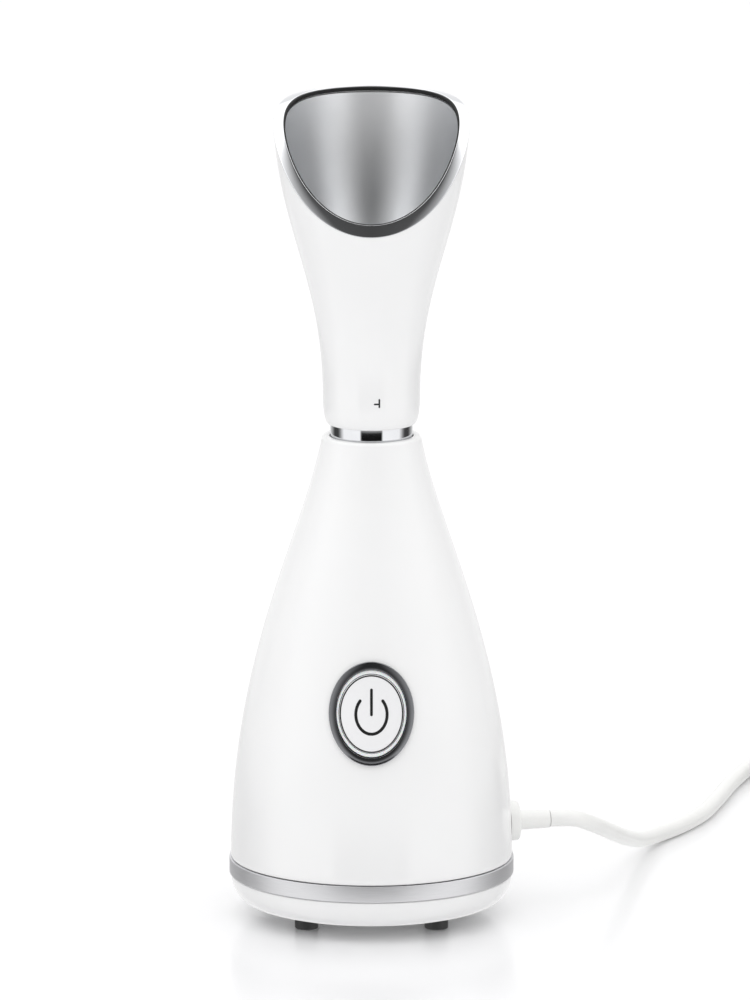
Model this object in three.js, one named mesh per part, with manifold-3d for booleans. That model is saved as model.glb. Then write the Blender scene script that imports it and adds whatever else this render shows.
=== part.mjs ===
// Tabletop facial steamer. A tapered base holds the water tank, the heater and the
// push switch; a chrome neck plugs into its top and carries a scoop-shaped nozzle that
// turns on it. Millimetres, +Z up, origin on the table under the middle of the base,
// front towards -Y.
import * as THREE from 'three';
import { mergeVertices } from 'three/addons/utils/BufferGeometryUtils.js';
import Module from 'manifold-3d';

const wasm = await Module();
wasm.setup();

// ---------------------------------------------------------------- driving dimensions
const GAP = 0.3; // clearance between pieces that touch
const ROUND = 32; // facets round the large shells
const MEDIUM = 24; // facets round the tank and the swivel pieces
const SMALL = 16; // facets round small turned pieces
const TINY = 10; // facets round screws and wires

// Base, from the table up
const FOOT_HEIGHT = 5.4;
const FOOT_RADIUS = 4.4;
const FOOT_INSET = 9.5; // from the edge of the cover's flat to the middle of a foot
const FOOT_STEM_RADIUS = 2.2;
const FOOT_BARB = 0.9; // how far the barb stands out from the stem
const FOOT_ROUND = 0.4;
const COVER_HEIGHT = 10.6;
const COVER_SHOULDER = 8.8; // width of the round edge outside the cover's flat
const COVER_WALL = 2.2;
const RING_HEIGHT = 6;
const RING_THICKNESS = 2.4;
const RING_PROUD = 0.6;
const BASE_RADIUS = 52.3;
const SHELL_HEIGHT = 159;
const SHELL_WALL = 2.2;
const SHELL_SPIGOT_WALL = 1.9; // the shell's bottom edge, inside the trim ring
const LIP_WIDTH = 3; // from the neck hole to the outside of the lip
const LIP_ROUND = 1.6;

// Neck and its joint with the base and the nozzle
const NECK_RADIUS = 15.2;
const NECK_WALL = 2.3;
const NECK_SHOW = 4.4; // chrome seen between base and nozzle
const COLLAR_SEAT = 6; // how deep the collar sits in the base
const COLLAR_REACH = 4; // how far the collar reaches into the nozzle
const SPIGOT_WALL = 2.4;
const SPIGOT_DEPTH = 13.5; // below the top of the base
const SPIGOT_RISE = 22; // above the bottom of the nozzle
const SPIGOT_FLANGE = 4; // height of the flange that carries the collar
const SPIGOT_BEVEL = 0.6;
const SEAL_SECTION = 0.65; // radius of the O-ring's section
const SEAL_RISE = 3.5; // above the end of the spigot
const GROOVE_DEPTH = 1.2;
const CLIP_THICKNESS = 1.2;
const CLIP_DROP = 1.6; // below the top of the spigot
const CLIP_REACH = 2; // outside the spigot

// Nozzle
const NOZZLE_HEIGHT = 120.8;
const WAIST_WIDTH = 2.45; // from the neck hole to the outside of the waist
const WAIST_RISE = 10; // height of the rounded bottom edge
const MOUTH_RADIUS = 36.3;
const NOZZLE_WALL = 2;
const LIP_DROP = 46; // from the top of the nozzle to the front lip
const RIM_WIDTH = 3.7;
const RIM_FACE = 0.9;
const RIM_SKIRT = 1.8;
const RIM_OVERHANG = 0.1; // outside the shell
const BOWL_SETBACK = 0.2; // the bowl's inside lies this far outside the rim's
const BOWL_EDGE = 2.4; // from the face of the rim down to the edge of the bowl
const BOWL_WALL = 1.2;
const BOWL_DEPTH = 64.5; // from the top of the nozzle to the floor of the bowl
const BOWL_DISH = 13; // height of the round bottom
const STEAM_TUBE_RADIUS = 7.6;
const STEAM_TUBE_WALL = 1.5;
const STEAM_TUBE_PLAY = 0.4; // between the steam tube and the spigot round it
const OUTLET_THICKNESS = 2;
const OUTLET_FLANGE = 2.4; // how far the outlet's edge lies over the bowl
const OUTLET_CROWN = 0.6;
const OUTLET_HOLE_RADIUS = 1.5;
const OUTLET_HOLE_CIRCLE = 4.6;
const SOCKET_WALL = 1.9;
const SOCKET_FLANGE = 2;

// Power button, an upright oval in the front of the base
const BUTTON_RISE = 63.4; // centre above the bottom edge of the shell
const BUTTON_HALF_WIDTH = 11.8;
const BUTTON_HALF_HEIGHT = 14.1;
const LIGHT_RING_WIDTH = 0.8; // at the sides
const LIGHT_RING_RISE = 1.25; // at the top and the bottom
const BEZEL_WIDTH = 2.5;
const BEZEL_RISE = 2.7;
const BEZEL_PROUD = 1.4;
const BUTTON_PROUD = 0.8;
const BUTTON_TRAVEL = 1.2;
const BUTTON_STEM_RADIUS = 2.5;
const SWITCH_SIZE = 7;
const SWITCH_DEPTH = 4.5;
const SWITCH_BORE_FLOOR = 1.2; // material between the bore and the board
const SWITCH_PLAY = 0.3; // round the plunger
const PLUNGER_RADIUS = 1.6;
const PLUNGER_PROUD = 1.5;
const BOARD_SETBACK = 13; // from the inside of the shell to the board
const BOARD_MARGIN = 3.4; // outside the bezel's collar
const BOARD_THICKNESS = 1.6;
const BOARD_POST_RADIUS = 2.4;
const BOARD_SCREW_BITE = 3.4; // thread beyond the board

// Tank and heater
const TANK_NECK_HEIGHT = 6;
const TANK_CONE_HEIGHT = 27;
const TANK_LIFT = 1.5; // above the top of the switch board
const TANK_CLEARANCE = 2.8; // to the inside of the shell at the tank's shoulder
const TANK_MOUTH_PLAY = 0.8; // round the spigot
const TANK_WALL = 1.6;
const TANK_ROUND = 2;
const TANK_FLANGE = 1.8;
const HEATER_RADIUS = 19;
const HEATER_THICKNESS = 6;
const HEATER_CLAMP_WIDTH = 8;
const HEATER_CLAMP_THICKNESS = 2;
const HEATER_CLAMP_Y = 14;
const THERMOSTAT_RADIUS = 8;
const THERMOSTAT_HEIGHT = 6;
const THERMOSTAT_Y = -2;
const FUSE_RADIUS = 2;
const FUSE_LENGTH = 12;
const FUSE_Y = -14;

// Fixings
const SCREW_RADIUS = 1.4;
const SCREW_HEAD_RADIUS = 2.8;
const SCREW_HEAD_HEIGHT = 2;
const COVER_SCREW_INSET = 13.3; // from the base's widest radius
const COVER_SCREW_TURN = -15; // degrees from +X
const COVER_SCREW_LENGTH = 22;
const COVER_SCREW_RECESS = 1; // head below the cover's flat
const POST_RADIUS = 3.8;
const POST_HEIGHT = 12; // above the bottom edge of the shell
const POST_RIB = 2;

// Mains terminal block and the clamp that holds the lead, on the bottom cover
const BLOCK_PLACE = new THREE.Vector2(14, 6);
const BLOCK_SIZE = new THREE.Vector3(18, 14, 11);
const CLAMP_SIZE = new THREE.Vector3(5, 14, 4);
const CLAMP_DISTANCE = 6; // from the block to the middle of the clamp
const CLAMP_RISE = 3; // clearance over and under the lead

// Mains lead, its strain relief and its plug
const LEAD_RADIUS = 3.1;
const LEAD_CORE_RADIUS = 2.7; // stripped stretch inside the base
const WIRE_RADIUS = 1;
const GLAND_TURN = 12; // degrees from +X towards +Y
const GLAND_Z = 32.7;
const GLAND_PLATE_RADIUS = 7.5;
const GLAND_PROUD = 3.6;
const GLAND_EDGE = 0.8;
const GLAND_SLEEVE = 12;
const GLAND_SLEEVE_ROOT = 0.55; // wall at the plate
const GLAND_SLEEVE_TIP = 0.25; // wall at the end
const GLAND_BODY_RADIUS = 4.7;
const GLAND_INSIDE = 8;
const GLAND_STOP = 1.6; // how far the inner stop stands out
const GLAND_STOP_LENGTH = 2.5;
const COIL_CENTRE = new THREE.Vector2(199.5, 246);
const COIL_OUTER_TURN = 44; // radius of the outermost turn
const COIL_PITCH = 6.5;
const COIL_LAYERS = 2;
const COIL_COLUMNS = 3.4;
const COIL_SLACK = 0.3; // room round the turns
const PLUG_PLACE = new THREE.Vector3(238.6, 157, 0);
const PLUG_TURN = -6; // degrees about +Z
const PLUG_HEIGHT = 22;
const PLUG_STEP = 13; // height of the seam between the two halves
const PLUG_HALF_WIDTH = 24.5;
const PLUG_TOP = 24; // from the plug's origin to the cord side
const PLUG_FOOT = 25; // from the plug's origin to the far side
const PLUG_LEAD_Z = 9.6;
const PLUG_RELIEF_LENGTH = 24;
const PIN_TIP = 1.2; // height of the narrowed end of a pin
const PIN_TAPER = 1.4;
const SLEEVE_LENGTH = 9.2;
const TAIL_LENGTH = 14; // straight lead between the plug and the coil

// ---------------------------------------------------------------- heights that follow
const coverBottom = FOOT_HEIGHT;
const coverTop = coverBottom + COVER_HEIGHT;
const coverFloor = coverBottom + COVER_WALL;
const ringBottom = coverTop + GAP;
const ringTop = ringBottom + RING_HEIGHT;
const shellBottom = ringTop + GAP;
const shellTop = shellBottom + SHELL_HEIGHT;
const nozzleBottom = shellTop + NECK_SHOW;
const nozzleTop = nozzleBottom + NOZZLE_HEIGHT;
const waistTop = nozzleBottom + WAIST_RISE;
const bowlFloor = nozzleTop - BOWL_DEPTH;
const collarBottom = shellTop - COLLAR_SEAT;
const collarTop = nozzleBottom + COLLAR_REACH;
const buttonZ = shellBottom + BUTTON_RISE;
const spigotBottom = shellTop - SPIGOT_DEPTH;
const spigotTop = nozzleBottom + SPIGOT_RISE;

// ---------------------------------------------------------------- radii that follow
const neckHole = NECK_RADIUS + GAP;
const lipRadius = neckHole + LIP_WIDTH;
const waistRadius = neckHole + WAIST_WIDTH;
const spigotBore = STEAM_TUBE_RADIUS + STEAM_TUBE_PLAY;
const spigotRadius = spigotBore + SPIGOT_WALL;
const coverFlatRadius = BASE_RADIUS - COVER_SHOULDER;
const coverScrewCircle = BASE_RADIUS - COVER_SCREW_INSET;

// ---------------------------------------------------------------- materials
const paint = (color, roughness, metalness = 0) =>
  new THREE.MeshStandardMaterial({ color, roughness, metalness });
const whiteAbs = paint(0xf4f4f4, 0.2);
const innerAbs = paint(0xe6e6e2, 0.5);
const chrome = paint(0xd8d8da, 0.12, 1);
const satinChrome = paint(0xb9b9bb, 0.35, 1);
const darkChrome = paint(0x3a3a3c, 0.2, 1);
const brushedSteel = paint(0xa9a9ab, 0.3, 1);
const blackRubber = paint(0x1a1a1a, 0.7);
const blackPlastic = paint(0x161616, 0.4);
const silicone = paint(0xd9dcdc, 0.6);
const aluminium = paint(0xb4b6b8, 0.4, 1);
const steel = paint(0x9c9c9c, 0.35, 1);
const brass = paint(0xc9c2b4, 0.3, 1);
const boardGreen = paint(0x2e5b3a, 0.5);
const whiteVinyl = paint(0xf2f2f0, 0.4);

// ---------------------------------------------------------------- solids and meshes
const model = new THREE.Group();

// A closed geometry as a solid: shared corners are joined and empty triangles dropped.
function solid(geometry) {
  const bare = geometry.clone();
  bare.deleteAttribute('normal');
  bare.deleteAttribute('uv');
  const merged = mergeVertices(bare, 1e-4);
  const corners = merged.index.array;
  const kept = [];
  for (let i = 0; i < corners.length; i += 3) {
    const [a, b, c] = corners.slice(i, i + 3);
    if (a !== b && b !== c && a !== c) kept.push(a, b, c);
  }
  return new wasm.Manifold(new wasm.Mesh({
    numProp: 3,
    vertProperties: new Float32Array(merged.attributes.position.array),
    triVerts: new Uint32Array(kept),
  }));
}

function addPiece(name, shape, material, parent = model) {
  const mesh = shape.getMesh();
  const geometry = new THREE.BufferGeometry();
  geometry.setAttribute('position', new THREE.BufferAttribute(mesh.vertProperties, 3));
  geometry.setIndex(new THREE.BufferAttribute(mesh.triVerts, 1));
  geometry.computeVertexNormals();
  const piece = new THREE.Mesh(geometry, material);
  piece.name = name;
  parent.add(piece);
  return piece;
}

// A solid turned round Z from a closed outline of [radius, height] points.
function turned(outline, facets = ROUND) {
  const points = outline.map(([r, z]) => new THREE.Vector2(Math.max(r, 0), z));
  if (THREE.ShapeUtils.area(points) < 0) points.reverse();
  points.push(points[0].clone());
  const geometry = new THREE.LatheGeometry(points, facets);
  geometry.rotateX(Math.PI / 2);
  return solid(geometry);
}

function disc(radius, bottom, top, facets = SMALL) {
  return turned([[0, bottom], [radius, bottom], [radius, top], [0, top]], facets);
}

function tube(inner, outer, bottom, top, facets = SMALL) {
  return turned([[inner, bottom], [outer, bottom], [outer, top], [inner, top]], facets);
}

function box(width, depth, height, x, y, z) {
  return solid(new THREE.BoxGeometry(width, depth, height).translate(x, y, z));
}

// A flat shape drawn in X and Z, carried along Y from one depth to the other.
function frontPrism(shape, yFront, yBack) {
  const geometry = new THREE.ExtrudeGeometry(shape, {
    depth: yBack - yFront, bevelEnabled: false, curveSegments: 12,
  });
  const turn = new THREE.Matrix4().makeBasis(
    new THREE.Vector3(-1, 0, 0), new THREE.Vector3(0, 0, 1), new THREE.Vector3(0, 1, 0));
  return solid(geometry.applyMatrix4(turn).translate(0, yFront, 0));
}

// A round bar along a smooth route through hand-placed points.
function bar(points, radius, steps, sides) {
  const route = new THREE.CatmullRomCurve3(points, false, 'centripetal');
  const section = new THREE.Shape();
  for (let i = 0; i < sides; i += 1) {
    const turn = (2 * Math.PI * i) / sides;
    const corner = [radius * Math.cos(turn), radius * Math.sin(turn)];
    if (i === 0) section.moveTo(...corner);
    else section.lineTo(...corner);
  }
  return solid(new THREE.ExtrudeGeometry(section, { extrudePath: route, steps, bevelEnabled: false }));
}

const degrees = THREE.MathUtils.degToRad;
const onCircle = (radius, angle) => [radius * Math.cos(degrees(angle)), radius * Math.sin(degrees(angle))];

// ---------------------------------------------------------------- outlines
// The base flares down from the lip in one curve and meets the trim ring upright.
const SHELL_PULL = { bottom: 0.478, top: 0.224 }; // how far each end keeps its direction
const SHELL_LEAN = 6.7; // how much wider the upper control point is than the lip
const shellCurve = new THREE.CubicBezierCurve(
  new THREE.Vector2(BASE_RADIUS, shellBottom),
  new THREE.Vector2(BASE_RADIUS, shellBottom + SHELL_PULL.bottom * SHELL_HEIGHT),
  new THREE.Vector2(lipRadius + SHELL_LEAN, shellTop - LIP_ROUND - SHELL_PULL.top * SHELL_HEIGHT),
  new THREE.Vector2(lipRadius, shellTop - LIP_ROUND));

// The nozzle swells from its waist to the mouth, upright at both ends.
const NOZZLE_PULL = { bottom: 0.428, top: 0.422 };
const swell = nozzleTop - waistTop;
const nozzleCurve = new THREE.CubicBezierCurve(
  new THREE.Vector2(waistRadius, waistTop),
  new THREE.Vector2(waistRadius, waistTop + NOZZLE_PULL.bottom * swell),
  new THREE.Vector2(MOUTH_RADIUS, nozzleTop - NOZZLE_PULL.top * swell),
  new THREE.Vector2(MOUTH_RADIUS, nozzleTop));

function radiusAt(curve, z) {
  const points = curve.getPoints(80);
  if (z <= points[0].y) return points[0].x;
  for (let i = 1; i < points.length; i += 1) {
    if (z <= points[i].y) {
      const share = (z - points[i - 1].y) / (points[i].y - points[i - 1].y);
      return THREE.MathUtils.lerp(points[i - 1].x, points[i].x, share);
    }
  }
  return points[points.length - 1].x;
}
const shellInside = (z) => Math.max(radiusAt(shellCurve, z) - SHELL_WALL, neckHole);

// Points along a curve's radius, offset inwards, between two heights.
function offsetRun(curve, inset, bottom, top, count) {
  const run = [];
  for (let i = 0; i <= count; i += 1) {
    const z = THREE.MathUtils.lerp(bottom, top, i / count);
    run.push([radiusAt(curve, z) - inset, z]);
  }
  return run;
}

// A skin that follows the base's outside, from `low` below it to `high` above it.
function baseSkin(low, high, bottom, top) {
  const outside = offsetRun(shellCurve, -high, bottom, top, 6);
  const inside = offsetRun(shellCurve, -low, bottom, top, 6).reverse();
  return turned([...outside, ...inside]);
}

// The mouth is a scoop: seen from the side its edge rises steeply from the front lip
// and levels out at the back.
const mouthCurve = new THREE.CubicBezierCurve(
  new THREE.Vector2(-0.832 * MOUTH_RADIUS, nozzleTop - LIP_DROP),
  new THREE.Vector2(-0.248 * MOUTH_RADIUS, nozzleTop - 0.43 * LIP_DROP),
  new THREE.Vector2(-0.099 * MOUTH_RADIUS, nozzleTop + 0.024 * LIP_DROP),
  new THREE.Vector2(1.03 * MOUTH_RADIUS, nozzleTop));

// Everything above the mouth's edge when it is lowered by `drop`.
function aboveMouth(drop) {
  const shape = new THREE.Shape();
  const edge = mouthCurve.getPoints(16);
  const reach = 2 * MOUTH_RADIUS;
  const slope = (edge[1].y - edge[0].y) / (edge[1].x - edge[0].x);
  shape.moveTo(-reach, edge[0].y - drop - slope * (reach + edge[0].x));
  edge.forEach((point) => shape.lineTo(point.x, point.y - drop));
  shape.lineTo(reach, edge[edge.length - 1].y - drop);
  shape.lineTo(reach, nozzleTop + reach);
  shape.lineTo(-reach, nozzleTop + reach);
  const geometry = new THREE.ExtrudeGeometry(shape, { depth: 2 * reach, bevelEnabled: false });
  const turn = new THREE.Matrix4().makeBasis(
    new THREE.Vector3(0, 1, 0), new THREE.Vector3(0, 0, 1), new THREE.Vector3(1, 0, 0));
  return solid(geometry.applyMatrix4(turn).translate(-reach, 0, 0));
}

// An upright oval round the middle of the button, from its half width and half height,
// with an oval hole when a second pair is given.
function oval([halfWidth, halfHeight], inner) {
  const shape = new THREE.Shape();
  shape.absellipse(0, buttonZ, halfWidth, halfHeight, 0, 2 * Math.PI);
  if (inner) {
    const hole = new THREE.Path();
    hole.absellipse(0, buttonZ, ...inner, 0, 2 * Math.PI);
    shape.holes.push(hole);
  }
  return shape;
}

const grown = ([halfWidth, halfHeight], sides, ends = sides) => [halfWidth + sides, halfHeight + ends];

// ---------------------------------------------------------------- base: shell and button
const BEZEL_COLLAR = 0.6; // share of the bezel's width that its collar takes
const COLLAR_DEPTH = 1.5; // how far the bezel's collar reaches behind the shell
const LIGHT_RING_DEPTH = 2.5;
const CAP_DEPTH = 1;
const buttonOval = [BUTTON_HALF_WIDTH, BUTTON_HALF_HEIGHT];
const ringInner = grown(buttonOval, GAP);
const ringOuterOval = grown(ringInner, LIGHT_RING_WIDTH, LIGHT_RING_RISE);
const bezelInner = grown(ringOuterOval, GAP);
const bezelCollar = grown(bezelInner, BEZEL_COLLAR * BEZEL_WIDTH, BEZEL_COLLAR * BEZEL_RISE);
const bezelOuter = grown(bezelInner, BEZEL_WIDTH, BEZEL_RISE);
const bezelTop = buttonZ + bezelOuter[1] + 1;
const bezelBottom = buttonZ - bezelOuter[1] - 1;
const frontY = -2 * BASE_RADIUS;
const middleY = -BASE_RADIUS / 3;
const boardFront = -(shellInside(buttonZ) - BOARD_SETBACK);
const boardHalf = grown(bezelCollar, BOARD_MARGIN);
const screwPlaces = [0, 90, 180, 270].map((turn) => onCircle(coverScrewCircle, turn + COVER_SCREW_TURN));
const boardPosts = [[-1, 1], [1, -1]].map(([side, up]) => [
  side * (boardHalf[0] - BOARD_POST_RADIUS), buttonZ + up * (boardHalf[1] - BOARD_POST_RADIUS)]);

// Turns a piece's +Z to the front, -Y, and puts it in place.
function alongY(shape, x, y, z) {
  return shape.rotate([90, 0, 0]).translate([x, y, z]);
}

// Turns a piece's +Z outwards along the strain relief's axis.
function alongGland(shape, radius) {
  const [x, y] = onCircle(radius, GLAND_TURN);
  return shape.rotate([0, 90, 0]).rotate([0, 0, GLAND_TURN]).translate([x, y, GLAND_Z]);
}

function shellOutline() {
  const outside = shellCurve.getPoints(11).map((point) => [point.x, point.y]);
  const lip = [1, 2, 3].map((step) => {
    const turn = (Math.PI / 2) * (step / 3);
    return [lipRadius - LIP_ROUND * (1 - Math.cos(turn)), shellTop - LIP_ROUND * (1 - Math.sin(turn))];
  });
  const rabbet = shellBottom + SHELL_WALL + 1;
  const inside = [0, 1, 2, 3, 4, 5, 6, 7].map((step) => {
    const z = THREE.MathUtils.lerp(shellTop, rabbet, step / 7);
    return [shellInside(z), z];
  });
  const spigotOuter = BASE_RADIUS + RING_PROUD - RING_THICKNESS - GAP;
  const spigotInner = spigotOuter - SHELL_SPIGOT_WALL;
  const spigot = [[spigotInner, shellBottom + 1], [spigotInner, ringBottom], [spigotOuter, ringBottom],
    [spigotOuter, shellBottom]];
  return [...outside, ...lip, ...inside, ...spigot];
}

function baseShell() {
  let shell = turned(shellOutline());
  const within = turned([[0, ringBottom], ...offsetRun(shellCurve, SHELL_WALL / 2, ringBottom, shellTop, 14),
    [0, shellTop]]);
  const postBottom = coverFloor + POST_HEIGHT / 2;
  const postTop = shellBottom + POST_HEIGHT;
  const ribReach = BASE_RADIUS - coverScrewCircle;
  const ribMiddle = coverScrewCircle + ribReach / 2;
  screwPlaces.forEach(([x, y], i) => {
    const post = disc(POST_RADIUS, postBottom, postTop, TINY).translate([x, y, 0]);
    const rib = box(ribReach, POST_RIB, POST_HEIGHT, ribMiddle, 0, postTop - POST_HEIGHT / 2)
      .rotate([0, 0, 90 * i + COVER_SCREW_TURN]);
    const pilot = disc(SCREW_RADIUS + GAP, 0, postTop - SCREW_RADIUS, TINY).translate([x, y, 0]);
    shell = shell.add(rib.intersect(within)).add(post).subtract(pilot);
  });
  boardPosts.forEach(([x, z]) => {
    const post = alongY(disc(BOARD_POST_RADIUS, 0, BASE_RADIUS, TINY), x, boardFront - GAP, z);
    const pilot = alongY(disc(SCREW_RADIUS + GAP, -1, BOARD_SCREW_BITE + GAP, TINY), x, boardFront - GAP, z);
    shell = shell.add(post.intersect(within)).subtract(pilot);
  });
  const hole = frontPrism(oval(grown(bezelCollar, GAP)), frontY, middleY);
  const halfReach = BASE_RADIUS / 2;
  const glandHole = alongGland(disc(GLAND_BODY_RADIUS + GAP, -halfReach, halfReach, SMALL), BASE_RADIUS);
  return shell.subtract(hole).subtract(glandHole);
}

// The bezel's flange lies on the shell and its collar goes through the hole.
function buttonBezel() {
  const flange = frontPrism(oval(bezelOuter, bezelInner), frontY, middleY)
    .intersect(baseSkin(GAP, BEZEL_PROUD, bezelBottom, bezelTop));
  const collar = frontPrism(oval(bezelCollar, bezelInner), frontY, middleY)
    .intersect(baseSkin(-SHELL_WALL - COLLAR_DEPTH, BEZEL_PROUD / 2, bezelBottom, bezelTop));
  return flange.add(collar);
}

function lightRing() {
  return frontPrism(oval(ringOuterOval, ringInner), frontY, middleY)
    .intersect(baseSkin(-SHELL_WALL - LIGHT_RING_DEPTH, BUTTON_PROUD - GAP, bezelBottom, bezelTop));
}

const switchFront = boardFront - SWITCH_DEPTH;
const plungerBack = boardFront - SWITCH_BORE_FLOOR - GAP - BUTTON_TRAVEL;
const plungerFront = switchFront - PLUNGER_PROUD;
function buttonCap() {
  const cap = frontPrism(oval(buttonOval), frontY, middleY)
    .intersect(baseSkin(-SHELL_WALL - CAP_DEPTH, BUTTON_PROUD, bezelBottom, bezelTop));
  const stemEnd = plungerFront - GAP;
  const stemLength = shellInside(buttonZ) + stemEnd;
  return cap.add(alongY(disc(BUTTON_STEM_RADIUS, 0, stemLength, TINY), 0, stemEnd, buttonZ));
}

addPiece('base_shell', baseShell(), whiteAbs);
addPiece('button_bezel', buttonBezel(), darkChrome);
addPiece('button_light_ring', lightRing(), silicone);
addPiece('button_cap', buttonCap(), whiteAbs);

// ---------------------------------------------------------------- base: switch board
const board = box(2 * boardHalf[0], BOARD_THICKNESS, 2 * boardHalf[1],
  0, boardFront + BOARD_THICKNESS / 2, buttonZ);
const boardHoles = boardPosts.map(([x, z]) => alongY(
  disc(SCREW_RADIUS + GAP, -2 * BOARD_THICKNESS, BOARD_THICKNESS, TINY), x, boardFront, z));
addPiece('circuit_board', boardHoles.reduce((plate, hole) => plate.subtract(hole), board), boardGreen);
boardPosts.forEach(([x, z], i) => {
  const thread = disc(SCREW_RADIUS, -BOARD_SCREW_BITE - BOARD_THICKNESS, SCREW_HEAD_HEIGHT / 2, TINY);
  const screw = disc(SCREW_HEAD_RADIUS, 0, SCREW_HEAD_HEIGHT, TINY).add(thread);
  const place = [x, boardFront + BOARD_THICKNESS + GAP, z];
  addPiece(`board_screw_${i + 1}`, screw.rotate([-90, 0, 0]).translate(place), steel);
});
const switchBore = alongY(
  disc(PLUNGER_RADIUS + SWITCH_PLAY, 0, 2 * SWITCH_DEPTH, TINY), 0, boardFront - SWITCH_BORE_FLOOR, buttonZ);
const switchMiddle = boardFront - (SWITCH_DEPTH + GAP) / 2;
const switchBody = box(SWITCH_SIZE, SWITCH_DEPTH - GAP, SWITCH_SIZE, 0, switchMiddle, buttonZ);
addPiece('push_switch', switchBody.subtract(switchBore), blackPlastic);
const plunger = disc(PLUNGER_RADIUS, 0, plungerBack - plungerFront, TINY);
addPiece('switch_plunger', alongY(plunger, 0, plungerBack, buttonZ), blackPlastic);

// ---------------------------------------------------------------- base: trim, cover, feet
const ringOuter = BASE_RADIUS + RING_PROUD;
addPiece('trim_ring', tube(ringOuter - RING_THICKNESS, ringOuter, ringBottom, ringTop, ROUND), brushedSteel);

const COVER_PULL = 0.8; // the round edge's control point lies this far inside the corner
function coverOutline() {
  const outer = new THREE.QuadraticBezierCurve(
    new THREE.Vector2(coverFlatRadius, coverBottom),
    new THREE.Vector2(BASE_RADIUS - COVER_PULL, coverBottom + COVER_PULL),
    new THREE.Vector2(BASE_RADIUS - GAP / 3, coverTop)).getPoints(7).map((point) => [point.x, point.y]);
  const inner = outer.slice(1).map(([r, z]) => [r - COVER_WALL, Math.max(z, coverFloor)]).reverse();
  return [[0, coverBottom], ...outer, ...inner, [0, coverFloor]];
}

const footPlaces = [45, 135, 225, 315].map((turn) => onCircle(coverFlatRadius - FOOT_INSET, turn));
const headBottom = coverBottom + COVER_SCREW_RECESS;
const headSeat = headBottom + SCREW_HEAD_HEIGHT;
function bottomCover() {
  let cover = turned(coverOutline());
  const postTop = coverFloor + POST_HEIGHT / 2 - GAP;
  screwPlaces.forEach(([x, y]) => {
    cover = cover.add(disc(POST_RADIUS + 1, coverBottom, postTop, SMALL).translate([x, y, 0]))
      .subtract(disc(SCREW_RADIUS + GAP, 0, coverTop, TINY).translate([x, y, 0]))
      .subtract(disc(SCREW_HEAD_RADIUS + GAP, 0, headSeat + GAP, TINY).translate([x, y, 0]));
  });
  footPlaces.forEach(([x, y]) => {
    cover = cover.subtract(disc(FOOT_STEM_RADIUS + GAP, 0, coverTop, TINY).translate([x, y, 0]));
  });
  return cover;
}
addPiece('bottom_cover', bottomCover(), whiteAbs);

const footNames = ['foot_rear_right', 'foot_rear_left', 'foot_front_left', 'foot_front_right'];
const barbBottom = coverFloor + GAP;
const barbTop = barbBottom + 2 * FOOT_BARB;
const footTop = coverBottom - GAP;
footPlaces.forEach(([x, y], i) => {
  const foot = turned([
    [0, 0], [FOOT_RADIUS - FOOT_ROUND, 0], [FOOT_RADIUS, FOOT_ROUND], [FOOT_RADIUS, footTop],
    [FOOT_STEM_RADIUS, footTop], [FOOT_STEM_RADIUS, barbBottom], [FOOT_STEM_RADIUS + FOOT_BARB, barbBottom],
    [FOOT_STEM_RADIUS - FOOT_BARB, barbTop], [0, barbTop]], SMALL);
  addPiece(footNames[i], foot.translate([x, y, 0]), blackRubber);
});

screwPlaces.forEach(([x, y], i) => {
  const screw = disc(SCREW_HEAD_RADIUS, headBottom, headSeat, TINY)
    .add(disc(SCREW_RADIUS, headBottom + SCREW_HEAD_HEIGHT / 2, headSeat + COVER_SCREW_LENGTH, TINY));
  addPiece(`cover_screw_${i + 1}`, screw.translate([x, y, 0]), steel);
});

// ---------------------------------------------------------------- base: tank and heater
// The tank fills the room between the switch board and the neck.
const tankTop = collarBottom - GAP;
const tankNeckBottom = tankTop - TANK_NECK_HEIGHT;
const tankShoulder = tankNeckBottom - TANK_CONE_HEIGHT;
const tankBottom = buttonZ + boardHalf[1] + TANK_LIFT;
const tankRadius = shellInside(tankShoulder) - TANK_CLEARANCE;
const tankMouth = spigotRadius + TANK_MOUTH_PLAY;
const tankNeck = tankMouth + TANK_WALL;

function waterTank() {
  const inner = tankRadius - TANK_WALL;
  const tankFloor = tankBottom + TANK_WALL;
  return turned([
    [0, tankBottom], [tankRadius - TANK_ROUND, tankBottom], [tankRadius, tankBottom + TANK_ROUND],
    [tankRadius, tankShoulder], [tankNeck, tankNeckBottom], [tankNeck, tankTop - TANK_FLANGE],
    [NECK_RADIUS, tankTop - TANK_FLANGE], [NECK_RADIUS, tankTop], [tankMouth, tankTop],
    [tankMouth, tankNeckBottom + GAP], [inner, tankShoulder - 2 * GAP], [inner, tankFloor + TANK_ROUND],
    [inner - TANK_ROUND, tankFloor], [0, tankFloor]], MEDIUM);
}
addPiece('water_tank', waterTank(), aluminium);

const heaterTop = tankBottom - GAP;
const heaterBottom = heaterTop - HEATER_THICKNESS;
const underHeater = heaterBottom - GAP;
addPiece('heater_plate', disc(HEATER_RADIUS, heaterBottom, heaterTop, SMALL), aluminium);
addPiece('heater_clamp', box(2 * HEATER_RADIUS, HEATER_CLAMP_WIDTH, HEATER_CLAMP_THICKNESS,
  0, HEATER_CLAMP_Y, underHeater - HEATER_CLAMP_THICKNESS / 2), steel);
const thermostatBottom = underHeater - THERMOSTAT_HEIGHT;
addPiece('thermostat', disc(THERMOSTAT_RADIUS, thermostatBottom, underHeater, SMALL)
  .translate([0, THERMOSTAT_Y, 0]), blackPlastic);
addPiece('thermal_fuse', disc(FUSE_RADIUS, -FUSE_LENGTH / 2, FUSE_LENGTH / 2, TINY).rotate([0, 90, 0])
  .translate([0, FUSE_Y, underHeater - FUSE_RADIUS]), steel);

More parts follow.
